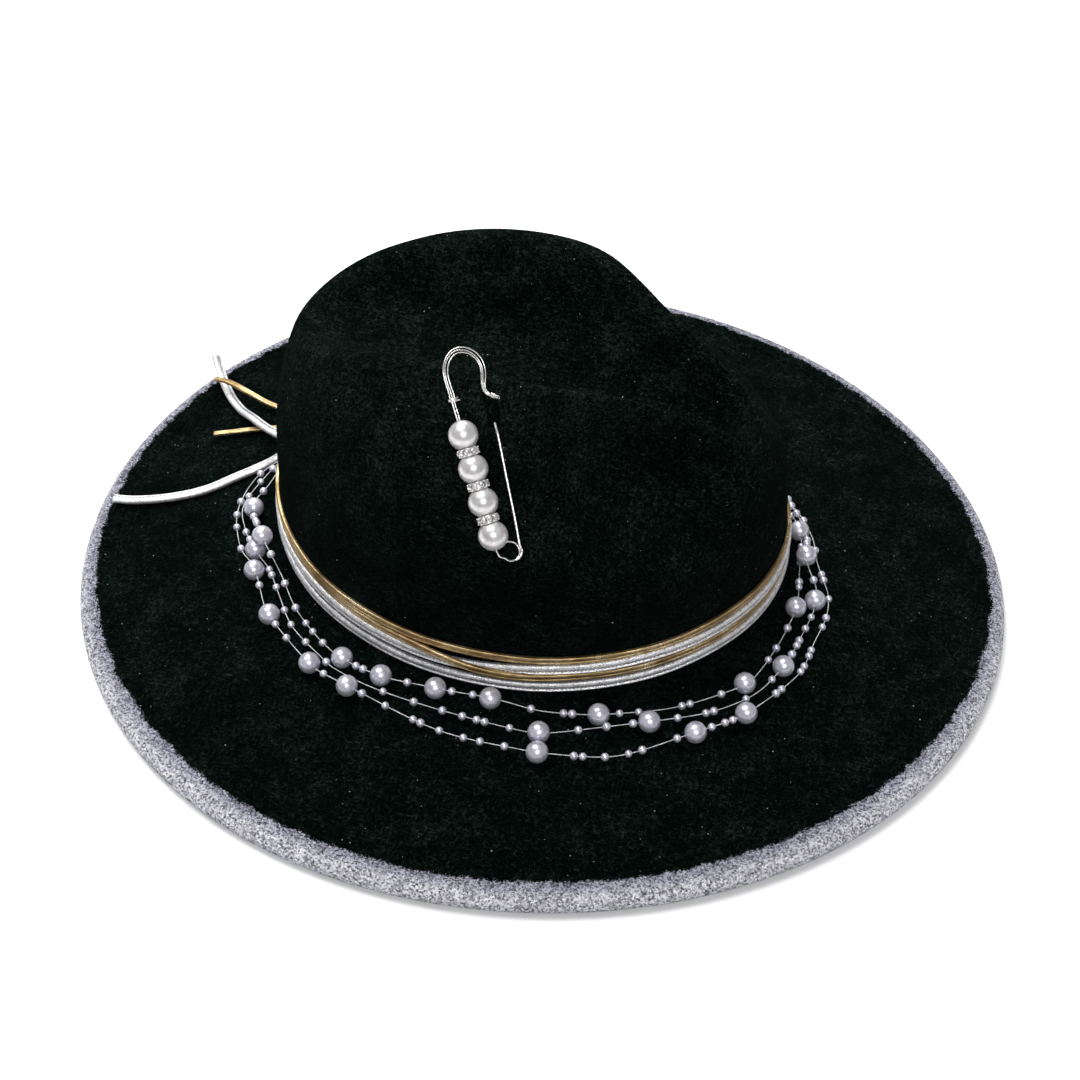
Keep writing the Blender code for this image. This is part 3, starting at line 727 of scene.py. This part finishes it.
def felt_rings(angle):
    """Rings over the outer skin, middle of the dent to the hem's end, and how deep in paint each point is."""
    level = np.ones_like(angle)
    controls = crown_controls(angle)
    dry = -1 * level
    rings, paint = [], []

    def lay_ring(x, y, z, inside=dry):
        rings.append(np.array((x, y, z * level)))
        paint.append(inside)

    for share in np.linspace(1, 0, 92):
        lay_ring(*spline(controls, share))
    for degrees in range(15, 90, 15):
        turn = math.radians(degrees)
        lay_ring(*foot_oval(angle, FOOT_BEND * (1 - math.cos(turn))),
                 BRIM_ROOT + FOOT_BEND * (1 - math.sin(turn)))
    inner = np.array((*foot_oval(angle, FOOT_BEND), BRIM_ROOT * level))
    outer = np.array((*brim_oval(angle, 0.0142), (BRIM_EDGE + 0.0003) * level))
    for share in np.linspace(0, 1, 22):
        lay_ring(*(inner + (outer - inner) * share))
    near = PAINT_NEAR * ease((np.cos(angle + math.radians(75)) + 0.15) / 1.0)
    top = PAINT_TOP + near
    for inset, rise in ((.0132, .0002), (.0127, -.0002), (.0121, -.0005), (.0115, -.0002), (.0109, .0001),
                        (.0100, 0), (.0085, 0), (.0070, 0), (.0055, 0)):
        height = BRIM_EDGE + rise
        lay_ring(*brim_oval(angle, inset), height, top - inset)
    for degrees in range(90, -91, -12):
        turn = math.radians(degrees)
        x, y = brim_oval(angle, HEM_RADIUS * (1 - math.cos(turn)))
        inside = top - HEM_RADIUS + (math.pi / 2 - turn) * HEM_RADIUS
        under = (turn + math.pi / 2) * HEM_RADIUS - (math.pi / 2 * HEM_RADIUS - PAINT_UNDER)
        lay_ring(x, y, HEM_RADIUS * (1 + math.sin(turn)), np.minimum(inside, under * level))
    lay_ring(*brim_oval(angle, HEM_WIDTH * 0.6), 0)
    lay_ring(*brim_oval(angle, HEM_WIDTH), 0)
    return rings, paint


def soften(rings):
    """Blocked felt is never quite even: slow waves a few tenths of a millimetre deep."""
    for row, ring in enumerate(rings):
        x, y, z = ring
        share = ease(row / 12) if row < 100 else ease((len(rings) - 26 - row) / 14)
        wave = np.sin(61 * x + 23 * z + 1.3) * np.cos(47 * y - 31 * z)
        wave = wave + 0.6 * np.sin(97 * x - 71 * y + 53 * z)
        ring[2] = z + share * 0.00022 * wave


def make_felt():
    angle = np.linspace(0, 2 * math.pi, AROUND, endpoint=False)
    rings, paint = felt_rings(angle)
    soften(rings)
    half = AROUND // 2
    verts = [tuple(rings[0][:, i]) for i in range(half + 1)]
    inside = [paint[0][i] for i in range(half + 1)]
    rows = [[min(i, AROUND - i) for i in range(AROUND)]]
    for ring, depth in zip(rings[1:], paint[1:]):
        rows.append([len(verts) + i for i in range(AROUND)])
        verts += [tuple(ring[:, i]) for i in range(AROUND)]
        inside += list(depth)
    faces = []
    for inner, outer in zip(rows, rows[1:]):
        for i in range(AROUND):
            k = (i + 1) % AROUND
            corners = (inner[i], outer[i], outer[k], inner[k])
            faces.append(tuple(dict.fromkeys(corners)))
    mesh = bpy.data.meshes.new("felt_hat_body")
    mesh.from_pydata(verts, [], faces)
    mesh.shade_smooth()
    kept = mesh.attributes.new("paint", "FLOAT", "POINT")
    kept.data.foreach_set("value", np.array(inside, np.float32))
    mesh.materials.append(MATERIALS["felt_painted"])
    mesh.materials.append(MATERIALS["felt_plain"])
    felt = add_object("felt_hat_body", mesh, "felt_painted")
    shell = felt.modifiers.new("thickness", "SOLIDIFY")
    shell.thickness = FELT
    shell.offset = -1
    shell.material_offset = 1
    shell.material_offset_rim = 1
    skin = BVHTree.FromPolygons(verts, faces)
    fit(felt, "hat", "felt", "felt_body")
    return skin, np.array(verts), faces, np.array(inside)


def make_nap(verts, faces, inside):
    """Short fibres standing out of the felt's skin, seen along its outlines."""
    rng = np.random.default_rng(11)
    quads = np.array([f for f in faces if len(f) == 4])
    quads = quads[(inside[quads].max(axis=1) < -0.0005) & (verts[quads][:, :, 2].min(axis=1) > 0.004)]
    a, b, c, d = (verts[quads[:, k]] for k in range(4))
    area = np.linalg.norm(np.cross(c - a, d - b), axis=1)
    chosen = rng.choice(len(quads), NAP_FIBRES, p=area / area.sum())
    u, v = rng.random((2, len(chosen), 1))
    place = (a[chosen] * (1 - u) + b[chosen] * u) * (1 - v) + (d[chosen] * (1 - u) + c[chosen] * u) * v
    normal = unit(np.cross(c - a, d - b)[chosen])
    lean = rng.normal(0, 0.75, (len(chosen), 3))
    direction = unit(normal + lean - normal * (lean * normal).sum(1)[:, None])
    side = unit(np.cross(direction, rng.normal(0, 1, (len(chosen), 3))))
    other = np.cross(direction, side)
    length = rng.uniform(*NAP_LENGTH, (len(chosen), 1))
    width = 0.00003
    frames = np.stack([side * width, other * width, direction * length], axis=2)
    spike = ([(1, 0, -.15), (-.5, .87, -.15), (-.5, -.87, -.15), (0, 0, 1)],
             [(0, 2, 1), (0, 1, 3), (1, 2, 3), (2, 0, 3)])
    nap = scatter("felt_nap", spike, frames, place, "nap", smooth=False)
    fit(nap, "hat", "felt")


def make_hem_stitches():
    """Black thread that holds the hem, underneath."""
    places, frames = [], []
    for i in range(HEM_STITCHES):
        angle = 2 * math.pi * i / HEM_STITCHES
        here, ahead = (np.array(brim_oval(a, HEM_STITCH_INSET)) for a in (angle, angle + 0.001))
        run = np.array((*(ahead - here), 0)) / np.linalg.norm(ahead - here)
        side = np.array((-run[1], run[0], 0))
        places.append((*here, 0.00018))
        frames.append(np.stack([run * 0.00115, side * 0.00025, np.array((0, 0, 0.00018))], axis=1))
    thing = scatter("hem_stitches", ball_template(6, 4), frames, places, "thread")
    fit(thing, "hat", "felt")


def make_sweatband():
    angle = np.linspace(0, 2 * math.pi, 480, endpoint=False)
    x, y = foot_oval(angle, -FELT - 0.0012)
    x_out, y_out = foot_oval(angle, -FELT)
    outs = unit(np.stack([x_out - x, y_out - y, 0 * x], axis=1))
    sides = np.tile((0.0, 0.0, 1.0), (len(angle), 1))
    centres = np.stack([x, y, np.full_like(x, SWEATBAND_MIDDLE)], axis=1)
    outline = round_outline([(-.00045, -.0150), (0, -.0160), (.00045, -.0150), (.0005, 0), (.00045, .0150),
                             (0, .0160), (-.00045, .0150), (-.0005, 0)], 3)
    ribbon = sweep("grosgrain_sweatband", centres, outs, sides, outline, "grosgrain", closed=True)
    fit(ribbon, "hat", "ribbon", "sweatband")


# Hatband

OUTLINES = {"gold": [(-.95, -.80), (.10, -1), (.70, -.80), (.82, -.45), (.55, -.22), (.80, .02), (1, .60),
                     (.62, .98), (-.30, 1), (-.95, .80)],
            "silver": [(-.95, -.85), (-.30, -1), (.30, -.97), (.70, -.70), (.10, -.42), (.02, -.32),
                       (.72, -.12), (1, .28), (.86, .70), (.30, .98), (-.50, .98), (-.95, .70)]}
GROOVE = (.30, -.38)      # where the stitches lie in the silver outline


def band_edge(angle):
    return BAND_TOP + BAND_SWAY * np.cos(2 * angle)


def crossed(angle):
    """0 in front, where the cords lie gold, silver, gold, silver; 1 behind, past the crossings."""
    degrees = (np.degrees(angle) + 180) % 360 - 180
    near = ease((CROSS_NEAR + CROSS_SPREAD - degrees) / (2 * CROSS_SPREAD))
    far = ease((degrees - CROSS_FAR + CROSS_SPREAD) / (2 * CROSS_SPREAD))
    return np.where(degrees < 0, near, far)


def over_silver(angle):
    """How far the lower gold turn stands out where it crosses."""
    degrees = (np.degrees(angle) + 180) % 360 - 180
    bumps = [np.exp(-((degrees - at) / (0.75 * CROSS_SPREAD)) ** 2) for at in (CROSS_NEAR, CROSS_FAR)]
    return (SILVER_THICK + 0.0002) * sum(bumps)


def turn_line(angle, metal, level):
    """Middle line of one turn of the band and its outward direction."""
    drops = (GOLD_DROPS if metal == "gold" else SILVER_DROPS)[level]
    thick = GOLD_THICK if metal == "gold" else SILVER_THICK
    drop = drops[0] + (drops[1] - drops[0]) * crossed(angle)
    lift = over_silver(angle) if (metal, level) == ("gold", "lower") else 0
    x, y = foot_oval(angle, BAND_GAP / 2 + thick / 2 + lift)
    further = foot_oval(angle, 0.01)
    on = foot_oval(angle, 0)
    outs = np.stack([further[0] - on[0], further[1] - on[1], 0 * angle], axis=1) / 0.01
    wander = 0.00018 * np.sin(5 * angle + 2 * drops[0] * 1e3) + 0.00012 * np.sin(13 * angle + drops[0] * 1e3)
    return np.stack([x, y, band_edge(angle) - drop + wander], axis=1), outs


def make_band():
    angle = np.linspace(0, 2 * math.pi, 420, endpoint=False)
    sides = np.tile((0.0, 0.0, 1.0), (len(angle), 1))
    for metal, height, thick in (("gold", GOLD_HEIGHT, GOLD_THICK), ("silver", SILVER_HEIGHT, SILVER_THICK)):
        half = (thick / 2, height / 2)
        section = round_outline(OUTLINES[metal], 3) * half
        for level in ("upper", "lower"):
            centres, outs = turn_line(angle, metal, level)
            cord = sweep(f"{metal}_band_{level}", centres, outs, sides, section, metal, closed=True)
            fit(cord, "hat", f"{metal}_cord", f"{metal}_turn_{level}")
            if metal == "silver":
                make_stitches(f"silver_band_{level}_stitches", centres, outs, sides, half, True)


def make_stitches(name, centres, outs, sides, half, closed):
    """A row of short stitches in the silver cord's groove."""
    line = np.array(centres) + np.array(outs) * GROOVE[0] * half[0] + np.array(sides) * GROOVE[1] * half[1]
    if closed:
        line = np.concatenate([line, line[:1]])
    along = distances(line)
    count = int(along[-1] / STITCH_STEP)
    at = (np.arange(count) + 0.5) * along[-1] / count
    back, middle, ahead = (np.stack([np.interp(at + shift, along, line[:, k]) for k in range(3)], axis=1)
                           for shift in (-0.0003, 0, 0.0003))
    run = unit(ahead - back)
    index = np.clip(np.searchsorted(along, at), 0, len(outs) - 1)
    side = np.array(sides)[index]
    slant = run + side * 0.35
    out = np.cross(run, side)
    frames = np.stack([slant * 0.00042, side * 0.00019, out * 0.00016], axis=2)
    thing = scatter(name, ball_template(6, 4), frames, middle, "thread")
    return fit(thing, "hat", "silver_cord")


def overhand(half):
    """Closed-looking path of an overhand knot, fitted in a box of these half sizes."""
    t = np.linspace(0, 2 * math.pi, 90, endpoint=False)
    path = np.stack([-np.sin(3 * t), np.sin(t) + 2 * np.sin(2 * t), np.cos(t) - 2 * np.cos(2 * t)], axis=1)
    return path / (1.0, 2.6, 2.9) * half


def make_knots():
    knots = (("gold_knot", "gold", Vector((-.1068, .0245, .0288)), (.0022, .0042, .0034), .00115),
             ("silver_knot", "silver", Vector((-.1100, .0055, .0238)), (.0022, .0052, .0038), .00150))
    for name, metal, place, half, radius in knots:
        path = overhand(np.array(half))
        ahead = unit(np.roll(path, -1, axis=0) - np.roll(path, 1, axis=0))
        sides = unit(np.cross(ahead, unit(path)))
        outs = np.cross(sides, ahead)
        outline = round_outline(OUTLINES[metal], 2) * (radius * 0.8, radius)
        knot = sweep(f"{metal}_overhand_knot", path + np.array(place), outs, sides, outline, metal,
                     closed=True)
        fit(knot, "hat", f"{metal}_cord", name)


# Tails

def on_brim(x, y, lift):
    angle = math.atan2(y / CROWN_B, (x - CROWN_SHIFT) / CROWN_A)
    fx, fy = foot_oval(angle)
    return Vector((x, y, brim_height(math.hypot(x - fx, y - fy)) + lift))


def make_tails():
    """Flat folded strips that lie on the brim. They hang a little below the design's middle line."""
    gold = ("gold", GOLD_TAIL_WIDTH, GOLD_TAIL_THICK, GOLD_TAIL_RADIUS)
    silver = ("silver", SILVER_TAIL_WIDTH, SILVER_TAIL_THICK, SILVER_TAIL_RADIUS)
    tails = (("gold_tail_long", GOLD_TAIL_LONG, gold), ("gold_tail_short", GOLD_TAIL_SHORT, gold),
             ("silver_tail_back", SILVER_TAIL_BACK, silver), ("silver_tail_side", SILVER_TAIL_SIDE, silver))
    for name, points, (metal, width, thick, radius) in tails:
        route = smooth_route([on_brim(*p) for p in points], 0.0008)
        line = np.array(route)
        ahead = unit(np.gradient(line, axis=0))
        sides = -unit(np.cross(ahead, (0, 0, 1)))
        outs = np.cross(ahead, sides)
        outs *= np.sign(outs[:, 2:])
        outline = round_outline(OUTLINES[metal], 3) * (thick / 2, width / 2)
        outline[:, 0] += thick / 2 - radius
        strip = sweep(f"{name}_strip", line, outs, sides, outline, metal, closed=False)
        fit(strip, "hat", f"{metal}_cord", name)
        extra = []
        if metal == "silver":
            shifted = line + outs * (thick / 2 - radius)
            extra = [make_stitches(f"{name}_stitches", shifted, outs, sides, (thick / 2, width / 2), False)]


# Garland

def garland_point(degrees, out, lift):
    x, y = foot_oval(math.radians(degrees), out / 1000)
    return Vector((x, y, brim_height(out / 1000) + lift / 1000))


def thread(stations):
    points = [garland_point(*station[:3]) for station in stations]
    route, pearls = [], []
    for i, (place, station) in enumerate(zip(points, stations)):
        if not station[3]:
            route.append(place)
            continue
        direction = (points[i + 1] - points[i - 1]).normalized()
        route += [place - direction * PEARL_REACH, place + direction * PEARL_REACH]
        pearls.append((place, direction))
    return route, pearls


def bored_ball(radius, bore, points):
    end = math.acos(bore / radius)
    turns = [end - 2 * end * i / (points - 1) for i in range(points)]
    return [(radius * math.cos(t), radius * math.sin(t)) for t in turns]


def seed_places(route, pearls, rng):
    """Places and directions of the small beads along a strand, clear of its pearls and the strand's ends."""
    line = np.array(route)
    along = distances(line)
    at, found = 0.010, []
    while at < along[-1] - 0.010:
        found.append(at)
        if rng.random() < SEED_PAIR_SHARE:
            found.append(at + 2 * SEED_BEAD + 0.0001)
            at += 2 * SEED_BEAD
        at += rng.uniform(*SEED_STEP)
    kept = []
    for at in found:
        here, ahead = (Vector([np.interp(a, along, line[:, k]) for k in range(3)]) for a in (at, at + 0.0005))
        clear = all((here - place).length > PEARL_RADIUS + SEED_BEAD + 0.0002 for place, _ in pearls)
        if clear:
            kept.append((here, (ahead - here).normalized()))
    return kept


def settle(strands):
    """Small beads of different strands that would overlap are dropped from the later strand."""
    taken, kept = [], []
    for seeds in strands:
        mine = []
        for place, direction in seeds:
            if all((place - other).length > 1.9 * SEED_BEAD for other in taken):
                mine.append((place, direction))
        taken += [place for place, _ in mine]
        kept.append(mine)
    return kept


def make_garland():
    rng = np.random.default_rng(5)
    pearl_mesh = None
    strands = []
    for label, stations in (("inner", STRAND_INNER), ("middle", STRAND_MIDDLE), ("outer", STRAND_OUTER)):
        route, pearls = thread(stations)
        route = smooth_route([TIED_IN] + route + [TIED_OFF], 0.002)
        strands.append((label, route, pearls))
    every_pearl = [pearl for _, _, pearls in strands for pearl in pearls]
    seeds = settle([seed_places(route, every_pearl, rng) for _, route, _ in strands])
    count = 0
    for (label, route, pearls), beads in zip(strands, seeds):
        line = tube(f"strand_{label}_line", route, LINE_RADIUS, "nylon")
        fit(line, "hat", "line", f"strand_{label}")
        for place, direction in pearls:
            count += 1
            if pearl_mesh is None:
                verts, faces = revolve(bored_ball(PEARL_RADIUS, PEARL_BORE, 20), 32)
                pearl = add_mesh(f"garland_pearl_{count:02d}", verts, faces, "garland_pearl")
                pearl_mesh = pearl.data
            else:
                pearl = add_object(f"garland_pearl_{count:02d}", pearl_mesh, "garland_pearl")
            pearl.matrix_world = Matrix.Translation(place) @ facing(direction).to_4x4()
            fit(pearl, "hat", "pearl", f"pearl_{count:02d}")
        frames = [np.array(facing(direction)) * (SEED_BEAD * rng.uniform(0.92, 1.06))
                  for _, direction in beads]
        small = scatter(f"strand_{label}_beads", ball_template(16, 10), frames, [p for p, _ in beads],
                        "garland_pearl")
        fit(small, "hat", "pearl")


# Kilt pin

def pin_frame():
    across = PIN_ACROSS.normalized()
    up = (PIN_UP - across * PIN_UP.dot(across)).normalized()
    out = across.cross(up)
    return Matrix.Translation(PIN_PLACE) @ Matrix((across, up, out)).transposed().to_4x4()


def coil_points(start, end, low, high, step=8):
    steps = round(abs(end - start) / step)
    points = []
    for i in range(steps + 1):
        share = i / steps
        turn = math.radians(start + (end - start) * share)
        across, up = COIL_RADIUS * math.cos(turn), COIL_RADIUS * math.sin(turn)
        points.append(Vector((across, up, low + (high - low) * share)))
    return points


def set_on_arm(along):
    direction = (ARM_HEAD - ARM_FOOT).normalized()
    return Matrix.Translation(ARM_FOOT + direction * along) @ facing(direction).to_4x4()


def make_pin(home):
    """The arm is a doubled wire; one strand runs into a coil. The needle's coil stops short of it."""
    side = Vector((ARM_WIRE_APART, 0, 0))
    foot = ARM_FOOT + Vector((0, .0003, 0))
    coil = coil_points(*ARM_COIL)
    lead = smooth_route([foot - side, Vector((-.0043, -.0014, 0)), coil[0]], 0.0003)
    straight, second = ([ARM_HEAD.lerp(ARM_FOOT, i / 20) + shift for i in range(20)]
                        for shift in (-side, side))
    arm = tube("pin_arm_wire", straight + lead[:-1] + coil, ARM_WIRE_RADIUS, "plated", home)
    fit(arm, "hat", "steel", "pin_arm")
    fit(tube("pin_arm_second_wire", second, SECOND_WIRE_RADIUS, "plated", home), "hat", "steel")
    route = coil_points(*NEEDLE_COIL) + smooth_route(NEEDLE, 0.001)
    needle = tube("pin_needle_wire", route, NEEDLE_RADIUS, "plated", home,
                  taper=lambda share: min(1, 0.25 + (1 - share) * 9))
    fit(needle, "needle", "steel", "pin_needle")
    make_head(home)
    make_collar(home)
    make_clasp(home)


def make_head(home):
    """The hooked head: three fine wires side by side that come together at the clasp."""
    route = smooth_route([ARM_HEAD - Vector((0, .0004, 0))] + HEAD, 0.0005)
    line = np.array(route)
    ahead = np.gradient(line, axis=0)
    across = unit(np.cross(ahead, (0, 0, 1)))
    share = np.linspace(0, 1, len(line))
    gather = 1 - 0.55 * ease((share - 0.74) / 0.20)
    for i, shift in enumerate((-HEAD_WIRE_APART, 0, HEAD_WIRE_APART)):
        wobble = 0.00008 * np.sin(9 * share + 2.1 * i)
        strand = line + across * ((shift * gather) + wobble)[:, None]
        strand[:, 2] += 0.00016 * math.cos(math.pi * i)
        wire = tube(f"pin_head_wire_{i + 1}", [Vector(p) for p in strand], HEAD_WIRE_RADIUS, "plated",
                    home)
        fit(wire, "hat", "steel", *(["pin_head"] if i == 0 else []))


def make_collar(home):
    """Wire wrapped round the foot of the head, its two ends left standing out."""
    points = []
    for i in range(61):
        turn = math.radians(-200 + 760 * i / 60)
        flare = 0.00135 + 0.0009 * (ease((i - 56) / 4) + ease((4 - i) / 4))
        points.append(Vector((flare * math.cos(turn), flare * math.sin(turn), -0.0005 + 0.0010 * i / 60)))
    place = home @ set_on_arm((ARM_HEAD - ARM_FOOT).length - 0.0004)
    fit(tube("pin_collar_wrap", points, 0.00024, "plated", place), "hat", "steel", "pin_collar")


def make_clasp(home):
    """The head's wires end in a short twist."""
    start, end = Vector(HEAD[-3]), Vector(HEAD[-1]) + Vector((.0006, -.0003, -.0004))
    turn = facing((end - start).normalized())
    points = []
    for i in range(57):
        share = i / 56
        twist = 2 * math.pi * 3.5 * share
        ring = Vector((math.cos(twist), math.sin(twist), 0)) * (0.00072 - 0.00025 * share)
        points.append(start.lerp(end, share) + turn @ ring)
    fit(tube("pin_clasp_twist", points, 0.00020, "plated", home), "hat", "steel")


def make_pin_pearls(home):
    verts, faces = revolve(bored_ball(BEAD_RADIUS, BEAD_BORE, 28), 48)
    mesh = None
    for i in range(4):
        name = f"pin_pearl_{i + 1}"
        if mesh is None:
            pearl = add_mesh(name, verts, faces, "pin_pearl")
            mesh = pearl.data
        else:
            pearl = add_object(name, mesh, "pin_pearl")
        pearl.matrix_world = home @ set_on_arm(BEAD_FIRST + BEAD_PITCH * i)
        fit(pearl, f"spin_pearl_{i + 1}", "pearl", f"bead_pearl_{i + 1}")


def stone_template():
    """A round brilliant: table, crown, girdle and a blunt back, eight-sided."""
    verts, faces, sides = [], [], 8
    for radius, height, twist in ((.50, .60, 0), (.86, .32, .5), (1, 0, 0), (.55, -.55, .5)):
        for i in range(sides):
            turn = 2 * math.pi * (i + twist) / sides
            verts.append((radius * math.cos(turn), radius * math.sin(turn), height))
    faces.append(tuple(range(sides)))
    for ring in range(3):
        a, b = ring * sides, (ring + 1) * sides
        for i in range(sides):
            k = (i + 1) % sides
            if ring % 2 == 0:
                faces += [(a + i, b + i, a + k), (a + k, b + i, b + k)]
            else:
                faces += [(a + i, b + i, b + k), (a + i, b + k, a + k)]
    faces.append(tuple(range(4 * sides - 1, 3 * sides - 1, -1)))
    return verts, faces


def make_rondelles(home):
    """Each rondelle is a plated spool with nine stones set round it and small prongs between them."""
    upper = [(.00080, .00055), (.0024, .00060), (.0026, .00125), (.0031, .00140), (.0035, .00130),
             (.0034, .00105), (.0027, .00085)]
    spool = upper + [(.0025, 0)] + [(radius, -height) for radius, height in reversed(upper)]
    verts, faces = revolve(spool, 36)
    bodies = ("spin_rondelle_1", "bead_slider", "spin_rondelle_3")
    stones = 9
    for i, body in enumerate(bodies):
        place = home @ set_on_arm(BEAD_FIRST + BEAD_PITCH * (i + 0.5))
        ring = add_mesh(f"rondelle_{i + 1}_spool", verts, faces, "plated", home=place)
        fit(ring, body, "crystal", f"bead_rondelle_{i + 1}")
        frames, places, prong_frames, prong_places = [], [], [], []
        for k in range(stones):
            turn = 2 * math.pi * k / stones + 0.2 * i
            out = np.array((math.cos(turn), math.sin(turn), 0))
            side = np.array((-math.sin(turn), math.cos(turn), 0))
            up = np.array((0, 0, 1.0))
            frames.append(np.stack([side * .00102, up * .00102, out * .0009], axis=1))
            places.append(out * .0033)
            half = turn + math.pi / stones
            for level in (-1, 1):
                prong_frames.append(np.eye(3) * .00028)
                prong_places.append((.0036 * math.cos(half), .0036 * math.sin(half), level * .00095))
        gems = scatter(f"rondelle_{i + 1}_stones", stone_template(), frames, places, "rhinestone",
                       smooth=False, home=place)
        fit(gems, body, "crystal")
        prongs = scatter(f"rondelle_{i + 1}_prongs", ball_template(8, 6), prong_frames, prong_places,
                         "plated", home=place)
        fit(prongs, body, "crystal")


def make_welt(skin, home):
    """The fold of felt over the needle, between where it goes in and where it comes out at the clasp."""
    columns, rows = 25, 41
    half_width, start, end = 0.0030, 0.0405, 0.0565
    turn = home.to_3x3()
    out = turn @ Vector((0, 0, 1))
    needle = np.array(smooth_route(NEEDLE, 0.0005))
    verts = []
    for j in range(rows):
        v = start + (end - start) * j / (rows - 1)
        needle_u, needle_w = (np.interp(v, needle[:, 1], needle[:, k]) for k in (0, 2))
        cover = ease((v - 0.0432) / 0.0010) * ease((0.0556 - v) / 0.0012)
        for i in range(columns):
            u = needle_u + half_width * (2 * i / (columns - 1) - 1)
            above = home @ Vector((u, v, 0.012))
            hit = skin.ray_cast(above, -out, 0.05)[0]
            level = (home.inverted() @ hit).z if hit else 0
            near = math.exp(-((u - needle_u) / 0.0011) ** 2)
            top = max(level, needle_w + 0.00052)
            edge = ease((abs(2 * i / (columns - 1) - 1) - 0.7) / 0.3)
            rim = ease((0.0425 - v) / 0.0015) + ease((v - 0.0553) / 0.0010)
            w = level + (top - level + 0.00012) * near * cover - 0.00035 * max(edge, min(1, rim)) + 0.00002
            verts.append((u, v, w))
    faces = [(j * columns + i, j * columns + i + 1, (j + 1) * columns + i + 1, (j + 1) * columns + i)
             for j in range(rows - 1) for i in range(columns - 1)]
    welt = add_mesh("needle_welt", verts, faces, "felt_plain", home=home)
    thick = welt.modifiers.new("thickness", "SOLIDIFY")
    thick.thickness = 0.0004
    thick.offset = -1
    fit(welt, "needle", "felt")


# Stage

FLOOR_SIZE = 6
WORLD_STRENGTH = 0.24
# Name, kind, place, target, energy, and spread: a sun's angle in degrees, or an area lamp's size
LAMPS = (("overhead", "SUN", (-0.32, 0.14, 0.90), (0, 0, 0.04), 2.4, 36),
         ("by_camera", "SUN", (0.36, -0.72, 0.95), (0, 0, 0.04), 1.35, 22),
         ("behind", "AREA", (-0.30, 0.42, 0.50), (0, 0, 0.06), 3.0, 0.35))


def make_stage():
    bpy.ops.mesh.primitive_plane_add(size=FLOOR_SIZE)
    floor = bpy.context.object
    floor.name = "floor"
    floor.data.materials.append(MATERIALS["pale_floor"])
    world = bpy.data.worlds.new("studio")
    world.use_nodes = True
    world.node_tree.nodes["Background"].inputs["Color"].default_value = (1, 1, 1, 1)
    world.node_tree.nodes["Background"].inputs["Strength"].default_value = WORLD_STRENGTH
    bpy.context.scene.world = world
    for name, kind, place, target, energy, spread in LAMPS:
        lamp = bpy.data.lights.new(name, kind)
        lamp.energy = energy
        if kind == "SUN":
            lamp.angle = math.radians(spread)
        else:
            lamp.size = spread
        light = bpy.data.objects.new(name, lamp)
        bpy.context.scene.collection.objects.link(light)
        aim(light, Vector(place), Vector(target))
    bpy.context.scene.view_settings.view_transform = "Standard"


def finish_hoop():
    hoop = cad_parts["brim_hoop"]
    hoop.data.materials.clear()
    hoop.data.materials.append(MATERIALS["hoop_plastic"])


def main():
    make_camera()
    make_materials()
    make_tails()
    make_garland()
    skin, verts, faces, inside = make_felt()
    make_nap(verts, faces, inside)
    make_hem_stitches()
    make_sweatband()
    make_band()
    make_knots()
    home = pin_frame()
    make_pin(home)
    make_pin_pearls(home)
    make_rondelles(home)
    make_welt(skin, home)
    finish_hoop()
    make_stage()


main()
